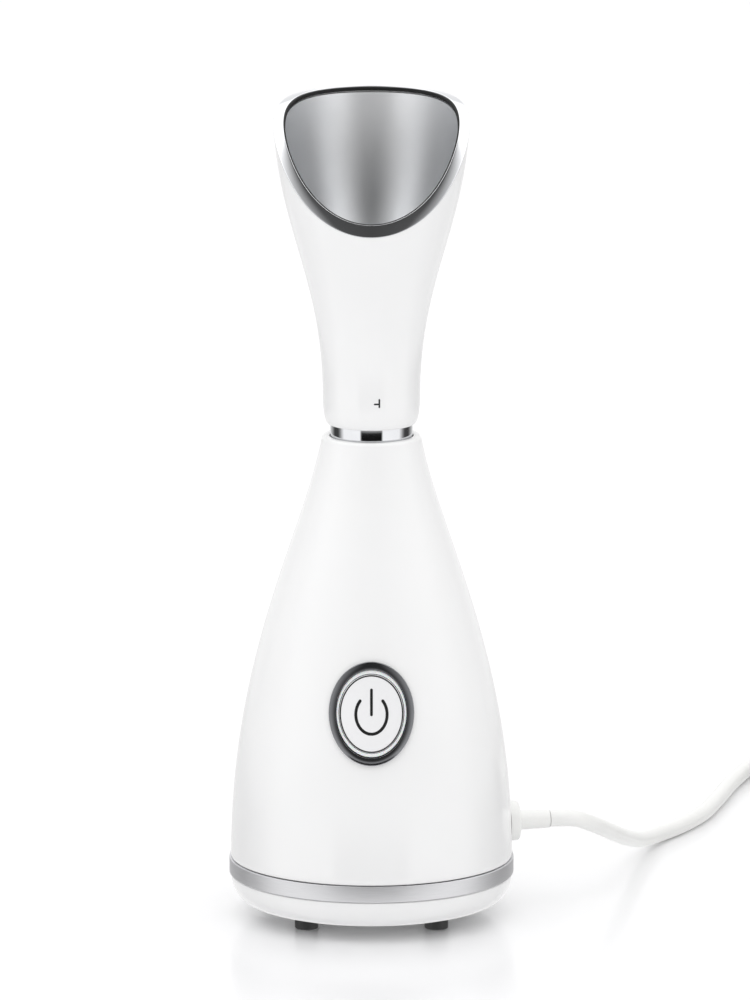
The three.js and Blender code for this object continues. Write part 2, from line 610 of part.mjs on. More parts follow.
// ---------------------------------------------------------------- base: mains side
const glandShell = radiusAt(shellCurve, GLAND_Z);
const glandEnd = glandShell + GLAND_PROUD + GLAND_SLEEVE;
function cordGland() {
  const top = GLAND_Z + 4 * GLAND_PLATE_RADIUS;
  const insideShell = turned([[0, 0], ...offsetRun(shellCurve, -GAP, shellBottom, top, 8), [0, top]]);
  const plate = turned([[0, -GLAND_PROUD], [GLAND_PLATE_RADIUS, -GLAND_PROUD],
    [GLAND_PLATE_RADIUS, GLAND_PROUD - GLAND_EDGE], [GLAND_PLATE_RADIUS - GLAND_EDGE, GLAND_PROUD],
    [0, GLAND_PROUD]], SMALL);
  const root = LEAD_RADIUS + GLAND_SLEEVE_ROOT;
  const sleeve = turned([[0, 0], [root, 0], [root, GLAND_PROUD],
    [LEAD_RADIUS + GLAND_SLEEVE_TIP, GLAND_PROUD + GLAND_SLEEVE], [0, GLAND_PROUD + GLAND_SLEEVE]], SMALL);
  const body = disc(GLAND_BODY_RADIUS, -GLAND_INSIDE, 1, SMALL);
  const stop = disc(GLAND_BODY_RADIUS + GLAND_STOP, -GLAND_INSIDE, GLAND_STOP_LENGTH - GLAND_INSIDE, SMALL);
  const onShell = (shape) => alongGland(shape, glandShell);
  return onShell(plate).subtract(insideShell).add(onShell(sleeve)).add(onShell(body)).add(onShell(stop));
}
addPiece('cord_gland', cordGland(), whiteVinyl);

const blockBottom = coverFloor + GAP;
const blockTop = blockBottom + BLOCK_SIZE.z;
addPiece('terminal_block', box(...BLOCK_SIZE.toArray(), BLOCK_PLACE.x, BLOCK_PLACE.y,
  (blockBottom + blockTop) / 2), innerAbs);
const clampX = BLOCK_PLACE.x + BLOCK_SIZE.x / 2 + CLAMP_DISTANCE;
const clampZ = blockBottom + 2 * LEAD_RADIUS + CLAMP_RISE;
addPiece('cord_clamp', box(...CLAMP_SIZE.toArray(), clampX, BLOCK_PLACE.y, clampZ), innerAbs);

const glandInside = (depth) => new THREE.Vector3(
  ...onCircle(glandShell - GLAND_INSIDE - depth, GLAND_TURN), GLAND_Z);
const onBlock = (x, y, rise) => new THREE.Vector3(BLOCK_PLACE.x + x, BLOCK_PLACE.y + y, blockTop + rise);
const innerLead = [
  glandInside(GAP), glandInside(3), glandInside(9).setZ(GLAND_Z - 4),
  onBlock(5, 1, 9), onBlock(4, 0, 4), onBlock(4, 0, GAP),
];
addPiece('supply_lead_inside', bar(innerLead, LEAD_CORE_RADIUS, 14, 8), whiteVinyl);

[['heater_wire_live', -1], ['heater_wire_neutral', 1]].forEach(([name, side]) => {
  const start = 4 * side;
  const underThermostat = (x, drop) => new THREE.Vector3(x, THERMOSTAT_Y + 3 * side, thermostatBottom - drop);
  const wire = [
    onBlock(-5, start, GAP), onBlock(-5, start, 4), onBlock(-8, start, 14),
    underThermostat(-4, 16), underThermostat(-3, 4), underThermostat(-3, GAP),
  ];
  addPiece(name, bar(wire, WIRE_RADIUS, 12, 6), side < 0 ? blackRubber : whiteVinyl);
});

// ---------------------------------------------------------------- neck
addPiece('neck_collar', tube(NECK_RADIUS - NECK_WALL, NECK_RADIUS, collarBottom, collarTop, ROUND), chrome);

const sealZ = spigotBottom + SEAL_RISE;
const clipBottom = spigotTop - CLIP_THICKNESS - CLIP_DROP;
const clipTop = clipBottom + CLIP_THICKNESS;
const grooveRadius = spigotRadius - GROOVE_DEPTH;
function neckSpigot() {
  const flange = NECK_RADIUS - NECK_WALL - GAP;
  const flangeTop = collarBottom + SPIGOT_FLANGE;
  const groove = SEAL_SECTION + GAP;
  return turned([
    [spigotBore, spigotBottom], [spigotRadius - SPIGOT_BEVEL, spigotBottom],
    [spigotRadius, spigotBottom + SPIGOT_BEVEL], [spigotRadius, sealZ - groove],
    [grooveRadius, sealZ - groove], [grooveRadius, sealZ + groove], [spigotRadius, sealZ + groove],
    [spigotRadius, collarBottom + GAP],
    [flange, collarBottom + GAP], [flange, flangeTop], [spigotRadius, flangeTop],
    [spigotRadius, clipBottom - GAP], [grooveRadius, clipBottom - GAP], [grooveRadius, clipTop + GAP],
    [spigotRadius, clipTop + GAP], [spigotRadius, spigotTop], [spigotBore, spigotTop]], MEDIUM);
}
addPiece('neck_spigot', neckSpigot(), innerAbs);
const sealRadius = grooveRadius + SEAL_SECTION + GAP;
addPiece('spigot_o_ring', solid(
  new THREE.TorusGeometry(sealRadius, SEAL_SECTION, 6, MEDIUM).translate(0, 0, sealZ)), silicone);
const clipOuter = spigotRadius + CLIP_REACH;
addPiece('swivel_clip', tube(grooveRadius + GAP, clipOuter, clipBottom, clipTop, MEDIUM), steel);

// ---------------------------------------------------------------- nozzle
// A quarter of an ellipse from a low inner point up to an upright outer one.
function quarterRun(innerRadius, outerRadius, bottom, top) {
  return [0, 1, 2, 3].map((step) => {
    const turn = (Math.PI / 2) * (step / 4);
    return [THREE.MathUtils.lerp(innerRadius, outerRadius, Math.sin(turn)),
      THREE.MathUtils.lerp(bottom, top, 1 - Math.cos(turn))];
  });
}

const WALL_LIFT = 0.7; // the inside of the round edge starts this many walls higher
function nozzleProfile(inset) {
  return [...quarterRun(neckHole, waistRadius - inset, nozzleBottom + WALL_LIFT * inset, waistTop),
    ...offsetRun(nozzleCurve, inset, waistTop, nozzleTop + 1, 9)];
}

function nozzleShell() {
  return turned([...nozzleProfile(0), ...nozzleProfile(NOZZLE_WALL).reverse()])
    .subtract(aboveMouth(RIM_FACE + GAP));
}
addPiece('nozzle_shell', nozzleShell(), whiteAbs);

// A ring that follows the mouth between two insets, from `top` to `bottom` below its edge.
function mouthBand(outerInset, innerInset, top, bottom) {
  const low = nozzleTop - LIP_DROP - 2 * RIM_WIDTH;
  const outside = offsetRun(nozzleCurve, outerInset, low, nozzleTop + 1, 4);
  const inside = offsetRun(nozzleCurve, innerInset, low, nozzleTop + 1, 4).reverse();
  const ring = turned([...outside, ...inside]);
  return ring.intersect(aboveMouth(bottom)).subtract(aboveMouth(top));
}
const rimSkirt = mouthBand(NOZZLE_WALL + GAP, RIM_WIDTH, RIM_FACE / 2, RIM_SKIRT);
addPiece('nozzle_rim', mouthBand(-RIM_OVERHANG, RIM_WIDTH, 0, RIM_FACE).add(rimSkirt), chrome);

// The height of the mouth's edge at a depth from front to back.
function mouthHeight(y) {
  const edge = mouthCurve.getPoints(80);
  const next = Math.max(1, edge.findIndex((point) => point.x >= y));
  const [before, after] = [edge[next - 1], edge[next]];
  return THREE.MathUtils.lerp(before.y, after.y, (y - before.x) / (after.x - before.x));
}

// Where a wall inside the nozzle's outside meets the mouth, by halving the interval.
function wallTop(inset, drop, angle) {
  let low = nozzleTop - 2 * LIP_DROP;
  let high = nozzleTop;
  for (let i = 0; i < 40; i += 1) {
    const z = (low + high) / 2;
    const y = (radiusAt(nozzleCurve, z) - inset) * Math.sin(angle);
    if (z + drop < mouthHeight(y)) low = z;
    else high = z;
  }
  return low;
}

// A closed outline that changes as it goes round Z, from the outline at each angle.
function loftedRound(outlineAt, facets) {
  const positions = [];
  const corners = [];
  for (let i = 0; i < facets; i += 1) {
    const angle = (2 * Math.PI * i) / facets;
    outlineAt(angle).forEach(([r, z]) => positions.push(r * Math.cos(angle), r * Math.sin(angle), z));
  }
  const count = positions.length / (3 * facets);
  for (let i = 0; i < facets; i += 1) {
    for (let k = 0; k < count; k += 1) {
      const [a, b] = [i * count + k, i * count + ((k + 1) % count)];
      const [c, d] = [a, b].map((corner) => (corner + count) % (facets * count));
      corners.push(a, c, b, b, c, d);
    }
  }
  const geometry = new THREE.BufferGeometry();
  geometry.setAttribute('position', new THREE.Float32BufferAttribute(positions, 3));
  geometry.setIndex(corners);
  return solid(geometry);
}

const bowlHole = STEAM_TUBE_RADIUS + GAP;
function nozzleBowl() {
  const dishTop = bowlFloor + BOWL_DISH;
  const innerInset = RIM_WIDTH + BOWL_SETBACK;
  const dishRadius = radiusAt(nozzleCurve, dishTop) - innerInset;
  const dish = (wall) => quarterRun(bowlHole, dishRadius + wall, bowlFloor - wall, dishTop);
  const side = (inset, angle) => offsetRun(nozzleCurve, inset, dishTop, wallTop(inset, BOWL_EDGE, angle), 3);
  return loftedRound((angle) => [
    ...dish(BOWL_WALL), ...side(innerInset - BOWL_WALL, angle), ...side(innerInset, angle).reverse(),
    ...dish(0).reverse()], MEDIUM);
}
addPiece('nozzle_bowl', nozzleBowl(), satinChrome);

const outletTop = bowlFloor + OUTLET_THICKNESS + GAP;
function steamOutlet() {
  const edge = bowlHole + OUTLET_FLANGE;
  const plate = turned([[0, bowlFloor + GAP], [edge, bowlFloor + 4 * GAP], [edge - 1, outletTop],
    [0, outletTop + OUTLET_CROWN]], MEDIUM);
  const hole = disc(OUTLET_HOLE_RADIUS, bowlFloor - OUTLET_THICKNESS, outletTop + OUTLET_THICKNESS, TINY);
  const ring = [0, 60, 120, 180, 240, 300].map((turn) => onCircle(OUTLET_HOLE_CIRCLE, turn));
  return [[0, 0], ...ring].reduce((left, [x, y]) => left.subtract(hole.translate([x, y, 0])), plate);
}
addPiece('steam_outlet', steamOutlet(), chrome);

const steamWay = STEAM_TUBE_RADIUS - STEAM_TUBE_WALL;
addPiece('steam_tube', tube(steamWay, STEAM_TUBE_RADIUS, nozzleBottom + 1, bowlFloor, SMALL), innerAbs);

// The socket turns on the spigot, under the clip, and its flange carries the shell.
function nozzleSocket() {
  const inner = spigotRadius + GAP;
  const outer = inner + SOCKET_WALL;
  const flange = waistRadius - NOZZLE_WALL - GAP;
  const flangeBottom = waistTop + 1;
  const flangeTop = flangeBottom + SOCKET_FLANGE;
  return turned([
    [inner, collarTop + 1], [outer, collarTop + 1], [outer, flangeBottom], [flange, flangeBottom],
    [flange, flangeTop], [outer, flangeTop], [outer, clipBottom - GAP], [inner, clipBottom - GAP]], MEDIUM);
}
addPiece('nozzle_socket', nozzleSocket(), innerAbs);

// ---------------------------------------------------------------- mains lead
// From the strain relief the lead drops to the table, runs back and round into the coil.
const glandOutside = (distance) => new THREE.Vector3(...onCircle(glandEnd + distance, GLAND_TURN), GLAND_Z);
const leadRun = [
  glandOutside(GAP),
  glandOutside(3),
  new THREE.Vector3(75.5, 17.6, 32),
  new THREE.Vector3(83, 26, 27.8),
  new THREE.Vector3(90.5, 44, 20.6),
  new THREE.Vector3(97, 68, 12.8),
  new THREE.Vector3(102.8, 93, 6.6),
  new THREE.Vector3(110, 114.5, 3.6),
  new THREE.Vector3(118.5, 130, LEAD_RADIUS),
  new THREE.Vector3(127, 149, LEAD_RADIUS),
  new THREE.Vector3(134, 175, LEAD_RADIUS),
  new THREE.Vector3(140.5, 204, LEAD_RADIUS),
  new THREE.Vector3(149.2, 234.5, LEAD_RADIUS),
];
addPiece('lead_run', bar(leadRun, LEAD_RADIUS, 20, 8), whiteVinyl);

const turnHalf = LEAD_RADIUS + COIL_SLACK;
const coilInner = COIL_OUTER_TURN - (COIL_COLUMNS - 1) * COIL_PITCH - turnHalf;
const coilHeight = 2 * (LEAD_RADIUS * COIL_LAYERS + COIL_SLACK);
const coil = tube(coilInner, COIL_OUTER_TURN + turnHalf, 0, coilHeight, ROUND);
addPiece('lead_coil', coil.translate([...COIL_CENTRE.toArray(), 0]), whiteVinyl);

// ---------------------------------------------------------------- plug
// Lies on its back with the pins up; in its own frame the lead comes in from +Y.
const plug = new THREE.Group();
plug.position.copy(PLUG_PLACE);
plug.rotation.z = degrees(PLUG_TURN);
model.add(plug);

// Seen from above: straight across at both ends, with shoulders that swell to the full width.
function plugOutline(inset) {
  const half = PLUG_HALF_WIDTH - inset;
  const top = PLUG_TOP - inset;
  const foot = inset - PLUG_FOOT;
  const end = 0.37 * PLUG_HALF_WIDTH; // half of the straight stretch at either end
  const widest = 0.29 * PLUG_TOP;
  const shape = new THREE.Shape();
  shape.moveTo(-end, top);
  shape.bezierCurveTo(-1.8 * end, top - 2, -half, 0.75 * PLUG_TOP, -half, widest);
  shape.bezierCurveTo(-half, -widest, inset - 2.2 * end, foot, -end, foot);
  shape.lineTo(end, foot);
  shape.bezierCurveTo(2.2 * end - inset, foot, half, -widest, half, widest);
  shape.bezierCurveTo(half, 0.75 * PLUG_TOP, 1.8 * end, top - 2, end, top);
  return shape;
}

function plugLayer(inset, bottom, top, bevel) {
  return solid(new THREE.ExtrudeGeometry(plugOutline(inset), {
    depth: top - bottom - 2 * bevel,
    bevelThickness: bevel,
    bevelSize: bevel,
    bevelOffset: -bevel,
    bevelSegments: 1,
    curveSegments: 5,
  }).translate(0, 0, bottom + bevel));
}
const plugBody = plugLayer(0, 0, PLUG_STEP, 1.2).add(plugLayer(0.8, PLUG_STEP - 1.5, PLUG_HEIGHT, 1.5));
addPiece('plug_body', plugBody, blackPlastic, plug);

// Flat pins with narrowed tips; live and neutral have sleeved roots.
const PINS = [
  { name: 'earth', x: 0, y: -16, width: 4, depth: 8, length: 22.7, sleeve: 0 },
  { name: 'live', x: 11.1, y: 6.2, width: 6.35, depth: 4, length: 17.7, sleeve: SLEEVE_LENGTH },
  { name: 'neutral', x: -11.1, y: 6.2, width: 6.35, depth: 4, length: 17.7, sleeve: SLEEVE_LENGTH },
];
function pinLayer(pin, inset, bottom, top) {
  return box(pin.width - inset, pin.depth - inset, top - bottom, pin.x, pin.y, (top + bottom) / 2);
}
PINS.forEach((pin) => {
  const root = PLUG_HEIGHT + GAP;
  const sleeveTop = root + pin.sleeve;
  const tip = PLUG_HEIGHT + pin.length;
  const metal = pinLayer(pin, 0, pin.sleeve ? sleeveTop + GAP : root, tip - PIN_TIP)
    .add(pinLayer(pin, PIN_TAPER, tip - PIN_TIP - GAP, tip));
  addPiece(`plug_pin_${pin.name}`, metal, brass, plug);
  if (pin.sleeve) addPiece(`plug_sleeve_${pin.name}`, pinLayer(pin, 0, root, sleeveTop), blackPlastic, plug);
});

// The plug's strain relief: a collar, a waist with two grooves and a taper down to the lead.
const reliefStart = PLUG_TOP + GAP;
const reliefEnd = reliefStart + PLUG_RELIEF_LENGTH;
const relief = turned([[0, 0], [7.2, 0], [7.2, 5], [5.6, 6], [5.6, 7.5], [6.6, 8.5], [6.2, 15], [4.9, 16],
  [4.9, 17.5], [5.2, 18.5], [LEAD_RADIUS + 0.8, PLUG_RELIEF_LENGTH], [0, PLUG_RELIEF_LENGTH]], SMALL);
addPiece('plug_strain_relief', relief.rotate([-90, 0, 0]).translate([0, reliefStart, PLUG_LEAD_Z]),
  blackPlastic, plug);

// The lead leaves the coil's upper layer on its far side and comes back to the plug.
plug.updateMatrixWorld();
const tailEnd = new THREE.Vector3(0, reliefEnd + GAP, PLUG_LEAD_Z).applyMatrix4(plug.matrixWorld);
const tailLine = new THREE.Vector3(0, reliefEnd + TAIL_LENGTH, PLUG_LEAD_Z).applyMatrix4(plug.matrixWorld);
addPiece('lead_tail', bar([tailEnd, tailLine], LEAD_RADIUS, 2, 8), whiteVinyl);

export default model;
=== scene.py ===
# %% [markdown]
# # A tabletop facial steamer
# A small appliance from a beauty salon: a tapered white base that holds the water and
# the heater, a chrome neck, and a white nozzle with a scoop-shaped mouth that turns on
# the neck. Its frame is already designed, so each lesson below adds one visible piece
# around it, in metres, at the place the frame gives.

# %% Load the frame
import math

import bpy
import numpy as np
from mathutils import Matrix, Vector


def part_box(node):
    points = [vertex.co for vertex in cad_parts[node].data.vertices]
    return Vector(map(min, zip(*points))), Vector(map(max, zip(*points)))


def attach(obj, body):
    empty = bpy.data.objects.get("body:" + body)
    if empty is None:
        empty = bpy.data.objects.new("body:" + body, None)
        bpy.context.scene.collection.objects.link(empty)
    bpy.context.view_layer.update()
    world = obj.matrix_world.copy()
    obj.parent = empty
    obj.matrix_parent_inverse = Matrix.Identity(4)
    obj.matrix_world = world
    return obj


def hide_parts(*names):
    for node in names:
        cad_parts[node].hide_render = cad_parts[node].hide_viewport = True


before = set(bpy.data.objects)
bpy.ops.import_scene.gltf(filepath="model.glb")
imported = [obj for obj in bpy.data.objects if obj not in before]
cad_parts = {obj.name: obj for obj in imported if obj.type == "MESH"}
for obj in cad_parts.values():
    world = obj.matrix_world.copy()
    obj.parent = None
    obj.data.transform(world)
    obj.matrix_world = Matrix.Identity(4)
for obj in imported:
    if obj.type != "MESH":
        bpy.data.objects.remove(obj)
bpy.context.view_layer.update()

# %% [markdown]
# ## Working in millimetres
# The object's makers think in millimetres, and Blender's frame is in metres. So every
# outline below is in millimetres, and one factor turns it to metres at the moment that
# a mesh is made. Sizes that the frame already holds are read from it and not repeated.

# %% Units and sizes from the frame
MM = 0.001
SCENE = bpy.context.scene


def box_mm(node):
    """Lowest and highest corner of a frame node, in millimetres."""
    low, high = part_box(node)
    return np.array(low) / MM, np.array(high) / MM


GAP = 0.3
BASE_RADIUS = box_mm("base_shell")[1][0]
SHELL_TOP = box_mm("base_shell")[1][2]
RING_BOTTOM, RING_TOP = (corner[2] for corner in box_mm("trim_ring"))
SHELL_BOTTOM = RING_TOP + GAP
NECK_RADIUS = box_mm("neck_collar")[1][0]
NOZZLE_BOTTOM = box_mm("nozzle_shell")[0][2]
NOZZLE_TOP = box_mm("nozzle_rim")[1][2]
NECK_HOLE = NECK_RADIUS + GAP
print(f"base {2 * BASE_RADIUS:.1f} mm across, {NOZZLE_TOP:.1f} mm tall with its nozzle")

# %% [markdown]
# ## The camera
# The steamer is seen from its front and a little above, from far away through a long
# lens, which keeps its round edges nearly level. A camera needs three facts: the point
# it looks at, how far above the horizon it stands, and how much it takes in.

# %% Camera
CAMERA_DISTANCE = 4.0
CAMERA_ELEVATION = math.radians(11.3)
VIEW_HEIGHT = 0.37
SENSOR = 24.0
AIM = np.array([0.0013, 0.0, 0.1569])

camera_data = bpy.data.cameras.new("camera")
camera_data.sensor_width = SENSOR
camera_data.lens = SENSOR * CAMERA_DISTANCE / VIEW_HEIGHT
camera_data.clip_end = 50.0
camera = bpy.data.objects.new("camera", camera_data)
camera.rotation_euler = (math.pi / 2 - CAMERA_ELEVATION, 0, 0)
back = np.array([0, -math.cos(CAMERA_ELEVATION), math.sin(CAMERA_ELEVATION)])
camera.location = AIM + CAMERA_DISTANCE * back
SCENE.collection.objects.link(camera)
SCENE.camera = camera
print(f"lens {camera_data.lens:.0f} mm, {CAMERA_DISTANCE} m away")

# %% [markdown]
# ## From a grid of points to a mesh
# Nearly every piece here is one surface worked out on a grid: a row for each step along
# its outline and a column for each step round it. The whole grid is one numpy array, so
# a shape is a formula and not a loop over points. A closed surface has its faces turned
# outwards by the sign of the volume it holds.

# %% Skins: points and faces
def volume(points, triangles):
    """Sum over the triangles of the box product of their corners, over six."""
    a, b, c = (points[triangles[:, k]] for k in range(3))
    return np.einsum("ij,ij->i", a, np.cross(b, c)).sum() / 6


def skin(grid, wrap=True, closed=False, poles=(False, False)):
    """Faces through a (rows, columns, 3) array of points. A quad joins two neighbours in
    a row to the two below them. wrap joins the last column to the first, closed joins
    the last row to the first, and a pole shuts an end row with a fan to its middle."""
    rows, columns, _ = grid.shape
    points = grid.reshape(-1, 3)
    index = np.arange(rows * columns).reshape(rows, columns)
    if wrap:
        index = np.hstack([index, index[:, :1]])
    if closed:
        index = np.vstack([index, index[:1]])
    quads = np.stack([index[:-1, :-1], index[:-1, 1:], index[1:, 1:], index[1:, :-1]], -1)
    quads = quads.reshape(-1, 4)
    fans = [np.zeros((0, 3), int)]
    for end, wanted, order in ((0, poles[0], -1), (-1, poles[1], 1)):
        if wanted:
            hub = np.full(index.shape[1] - 1, len(points))
            points = np.vstack([points, grid[end].mean(0)])
            fans.append(np.stack([index[end, :-1], index[end, 1:], hub], -1)[:, ::order])
    triangles = np.concatenate(fans)
    whole = np.concatenate([quads[:, :3], quads[:, [0, 2, 3]], triangles])
    if volume(points, whole) < 0:
        quads, triangles = quads[:, ::-1], triangles[:, ::-1]
    return points, quads, triangles


def joined(*skins):
    """Several skins as one: each one's faces are moved on by the points before it."""
    starts = np.cumsum([0] + [len(points) for points, _, _ in skins[:-1]])
    return tuple(np.concatenate(parts) for parts in (
        [points for points, _, _ in skins],
        [quads + start for (_, quads, _), start in zip(skins, starts)],
        [triangles + start for (_, _, triangles), start in zip(skins, starts)],
    ))


def placed(skin_parts, place):
    """A skin whose points are taken somewhere else by a function."""
    points, quads, triangles = skin_parts
    return place(points), quads, triangles


def mesh_from(name, points, quads, triangles, sharp=35):
    """A mesh in metres, smooth apart from edges that turn more than `sharp` degrees."""
    mesh = bpy.data.meshes.new(name)
    mesh.vertices.add(len(points))
    mesh.vertices.foreach_set("co", (points * MM).ravel())
    corners = np.concatenate([quads.ravel(), triangles.ravel()])
    mesh.loops.add(len(corners))
    mesh.loops.foreach_set("vertex_index", corners)
    starts = np.concatenate([
        4 * np.arange(len(quads)), 4 * len(quads) + 3 * np.arange(len(triangles))])
    mesh.polygons.add(len(starts))
    mesh.polygons.foreach_set("loop_start", starts)
    mesh.update(calc_edges=True)
    mesh.polygons.foreach_set("use_smooth", np.ones(len(starts), bool))
    mesh.set_sharp_from_angle(angle=math.radians(sharp))
    return mesh


def add_piece(name, mesh, material, body, nodes=()):
    """A piece of the object: it rides on a body and stands for the nodes it names."""
    piece = bpy.data.objects.new(name, mesh)
    SCENE.collection.objects.link(piece)
    piece.data.materials.clear()
    piece.data.materials.append(material)
    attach(piece, body)
    if nodes:
        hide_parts(*nodes)
    print(f"{name}: {len(piece.data.polygons)} faces")
    return piece


def stand_in(node, shape, material, body):
    """The finished shape of one frame node, named after it, from a skin or a mesh."""
    name = node + "_visual"
    mesh = shape if isinstance(shape, bpy.types.Mesh) else mesh_from(name, *shape)
    return add_piece(name, mesh, material, body, [node])


# %% [markdown]
# ## Finishes from nodes
# A finish is a Principled shader with a few nodes in front of it. One helper adds any
# node, sets what it is told and links what it is given. Colours are written as a
# designer would, in sRGB hex, and made linear once. A pattern's scale comes from its
# real size, because Object coordinates are in metres.

# %% Node helpers
def linear(code, alpha=1.0):
    """sRGB hex to linear light: c/12.92 below 0.04045, else ((c+0.055)/1.055)^2.4."""
    parts = (int(code[i:i + 2], 16) / 255 for i in (1, 3, 5))
    return (*(c / 12.92 if c <= 0.04045 else ((c + 0.055) / 1.055) ** 2.4 for c in parts), alpha)


def per_mm(size):
    """The texture scale at which one feature is `size` millimetres wide."""
    return 1 / (size * MM)


def add(tree, kind, inputs=None, **settings):
    """Adds a node, sets its properties, and fills or links its inputs."""
    node = tree.nodes.new(kind)
    for name, value in settings.items():
        setattr(node, name, value)
    for socket, value in (inputs or {}).items():
        if isinstance(value, bpy.types.NodeSocket):
            tree.links.new(value, node.inputs[socket])
        else:
            node.inputs[socket].default_value = value
    return node


def work_out(tree, operation, first, second=0.0):
    return add(tree, "ShaderNodeMath", {0: first, 1: second}, operation=operation).outputs[0]


def finish(name, **sockets):
    """A new material, its node tree and its Principled shader with the sockets set."""
    material = bpy.data.materials.new(name)
    material.use_nodes = True
    tree = material.node_tree
    shader = tree.nodes["Principled BSDF"]
    for socket, value in sockets.items():
        shader.inputs[socket.replace("_", " ")].default_value = value
    return material, tree, shader


def vary(tree, shader, socket, source, low, high):
    """Spreads a texture's 0 to 1 over low to high and feeds a shader socket."""
    spread = add(tree, "ShaderNodeMapRange", {"Value": source, "To Min": low, "To Max": high})
    tree.links.new(spread.outputs["Result"], shader.inputs[socket])


def tint(tree, shader, source, dark, light):
    """Mixes the base colour between two sRGB colours by a texture."""
    ramp = add(tree, "ShaderNodeValToRGB", {"Fac": source})
    ramp.color_ramp.elements[0].color = linear(dark)
    ramp.color_ramp.elements[1].color = linear(light)
    tree.links.new(ramp.outputs["Color"], shader.inputs["Base Color"])


def bump(tree, shader, source, depth_mm):
    """Relief whose full height is depth_mm."""
    relief = add(tree, "ShaderNodeBump", {"Height": source, "Distance": depth_mm * MM, "Strength": 1.0})
    tree.links.new(relief.outputs["Normal"], shader.inputs["Normal"])


def noise(tree, size_mm, detail=2.0, vector=None):
    """Noise in Object coordinates with features of a real size."""
    if vector is None:
        vector = add(tree, "ShaderNodeTexCoord").outputs["Object"]
    texture = add(tree, "ShaderNodeTexNoise", {"Vector": vector, "Scale": per_mm(size_mm), "Detail": detail})
    return texture.outputs["Fac"]


def surface(name, tone, gloss, relief=None, **sockets):
    """A finish whose colour, roughness and relief each follow a noise of their own: tone
    is (size, detail, dark, light), gloss is (size, detail, low, high) and relief is
    (size, detail, depth), with sizes and depth in millimetres."""
    material, tree, shader = finish(name, **sockets)
    size, detail, dark, light = tone
    tint(tree, shader, noise(tree, size, detail), dark, light)
    size, detail, low, high = gloss
    vary(tree, shader, "Roughness", noise(tree, size, detail), low, high)
    if relief:
        size, detail, depth = relief
        bump(tree, shader, noise(tree, size, detail), depth)
    print("made", name)
    return material


# %% [markdown]
# ## The lead's jacket
# The mains lead is sheathed in white PVC, extruded hot over its cores, so its surface is
# even, softly glossy and very slightly wavy where the cores press through. Colour and
# gloss hardly change along it; a low, long noise and a fine grain are enough.

# %% White PVC
PVC = surface("PVC_sheath_white", (9, 2, "#ECECEA", "#F5F5F3"), (3, 2, 0.3, 0.4), (1.2, 3, 0.02),
              IOR=1.53, Coat_Weight=0.1)

# %% [markdown]
# ## Outlines as curves
# The base and the nozzle are turned forms, drawn by one long curve each, as their
# designer would with four control points. The base stands upright on its trim ring and
# leans in to the lip; the nozzle leaves its waist upright and is upright again at the
# mouth. Everything that sits on them asks these two curves for its place.

# %% The two side curves
def bezier(controls, count=400):
    """Cubic Bezier: controls weighted (1-t)^3, 3t(1-t)^2, 3t^2(1-t) and t^3."""
    t = np.linspace(0, 1, count)[:, None]
    a, b, c, d = (np.array(point, float) for point in controls)
    return (1 - t) ** 3 * a + 3 * t * (1 - t) ** 2 * b + 3 * t ** 2 * (1 - t) * c + t ** 3 * d


LIP_WIDTH = 3.0
LIP_ROUND = 1.6
LIP_RADIUS = NECK_HOLE + LIP_WIDTH
SHELL_HEIGHT = SHELL_TOP - SHELL_BOTTOM
SHELL_LEAN = 6.7
SHELL_CURVE = bezier([
    (BASE_RADIUS, SHELL_BOTTOM),
    (BASE_RADIUS, SHELL_BOTTOM + 0.478 * SHELL_HEIGHT),
    (LIP_RADIUS + SHELL_LEAN, SHELL_TOP - LIP_ROUND - 0.224 * SHELL_HEIGHT),
    (LIP_RADIUS, SHELL_TOP - LIP_ROUND)])

WAIST_RADIUS = NECK_HOLE + 2.45
WAIST_TOP = NOZZLE_BOTTOM + 10
MOUTH_RADIUS = 36.3
SWELL = NOZZLE_TOP - WAIST_TOP
NOZZLE_CURVE = bezier([
    (WAIST_RADIUS, WAIST_TOP),
    (WAIST_RADIUS, WAIST_TOP + 0.428 * SWELL),
    (MOUTH_RADIUS, NOZZLE_TOP - 0.422 * SWELL),
    (MOUTH_RADIUS, NOZZLE_TOP)])


def shell_radius(z):
    return np.interp(z, SHELL_CURVE[:, 1], SHELL_CURVE[:, 0])


def nozzle_radius(z):
    return np.interp(z, NOZZLE_CURVE[:, 1], NOZZLE_CURVE[:, 0])


print(f"base radius half way up: {shell_radius(SHELL_BOTTOM + SHELL_HEIGHT / 2):.1f} mm")

# %% [markdown]
# ## The mains lead
# A lead of 1.5 m leaves the base on its right through a strain relief, sags to the table
# and runs back. The rest is put away as a round coil in two layers, with the plug beside
# it. The free stretch goes through listed points. The coil is a loop over its
# turns: inwards on the table, one climb at the inside, then outwards on top of the first
# layer, one lead's width from turn to turn.

# %% The lead's route
LEAD_RADIUS = 3.1
GLAND_TURN = math.radians(12)
GLAND_AXIS = np.array([math.cos(GLAND_TURN), math.sin(GLAND_TURN), 0.0])
GLAND_Z = 32.7
GLAND_PROUD = 3.6
GLAND_SLEEVE = 12.0
gland_root = shell_radius(GLAND_Z) * GLAND_AXIS + [0, 0, GLAND_Z]
gland_tip = gland_root + (GLAND_PROUD + GLAND_SLEEVE) * GLAND_AXIS

COIL_CENTRE = np.array([199.5, 246.0])
COIL_START = 163.0
COIL_OUTER = 44.0
COIL_PITCH = 6.5
COIL_TURNS = 2.4
CLIMB_TURNS = 0.65
TURN_POINTS = 48
LOWER_LAYER = LEAD_RADIUS + 0.08
UPPER_LAYER = 9.6

PLUG_PLACE = np.array([238.6, 157.0, 0.0])
PLUG_TURN = math.radians(-6)
PLUG_TOP = 24.0
PLUG_RELIEF = 24.0


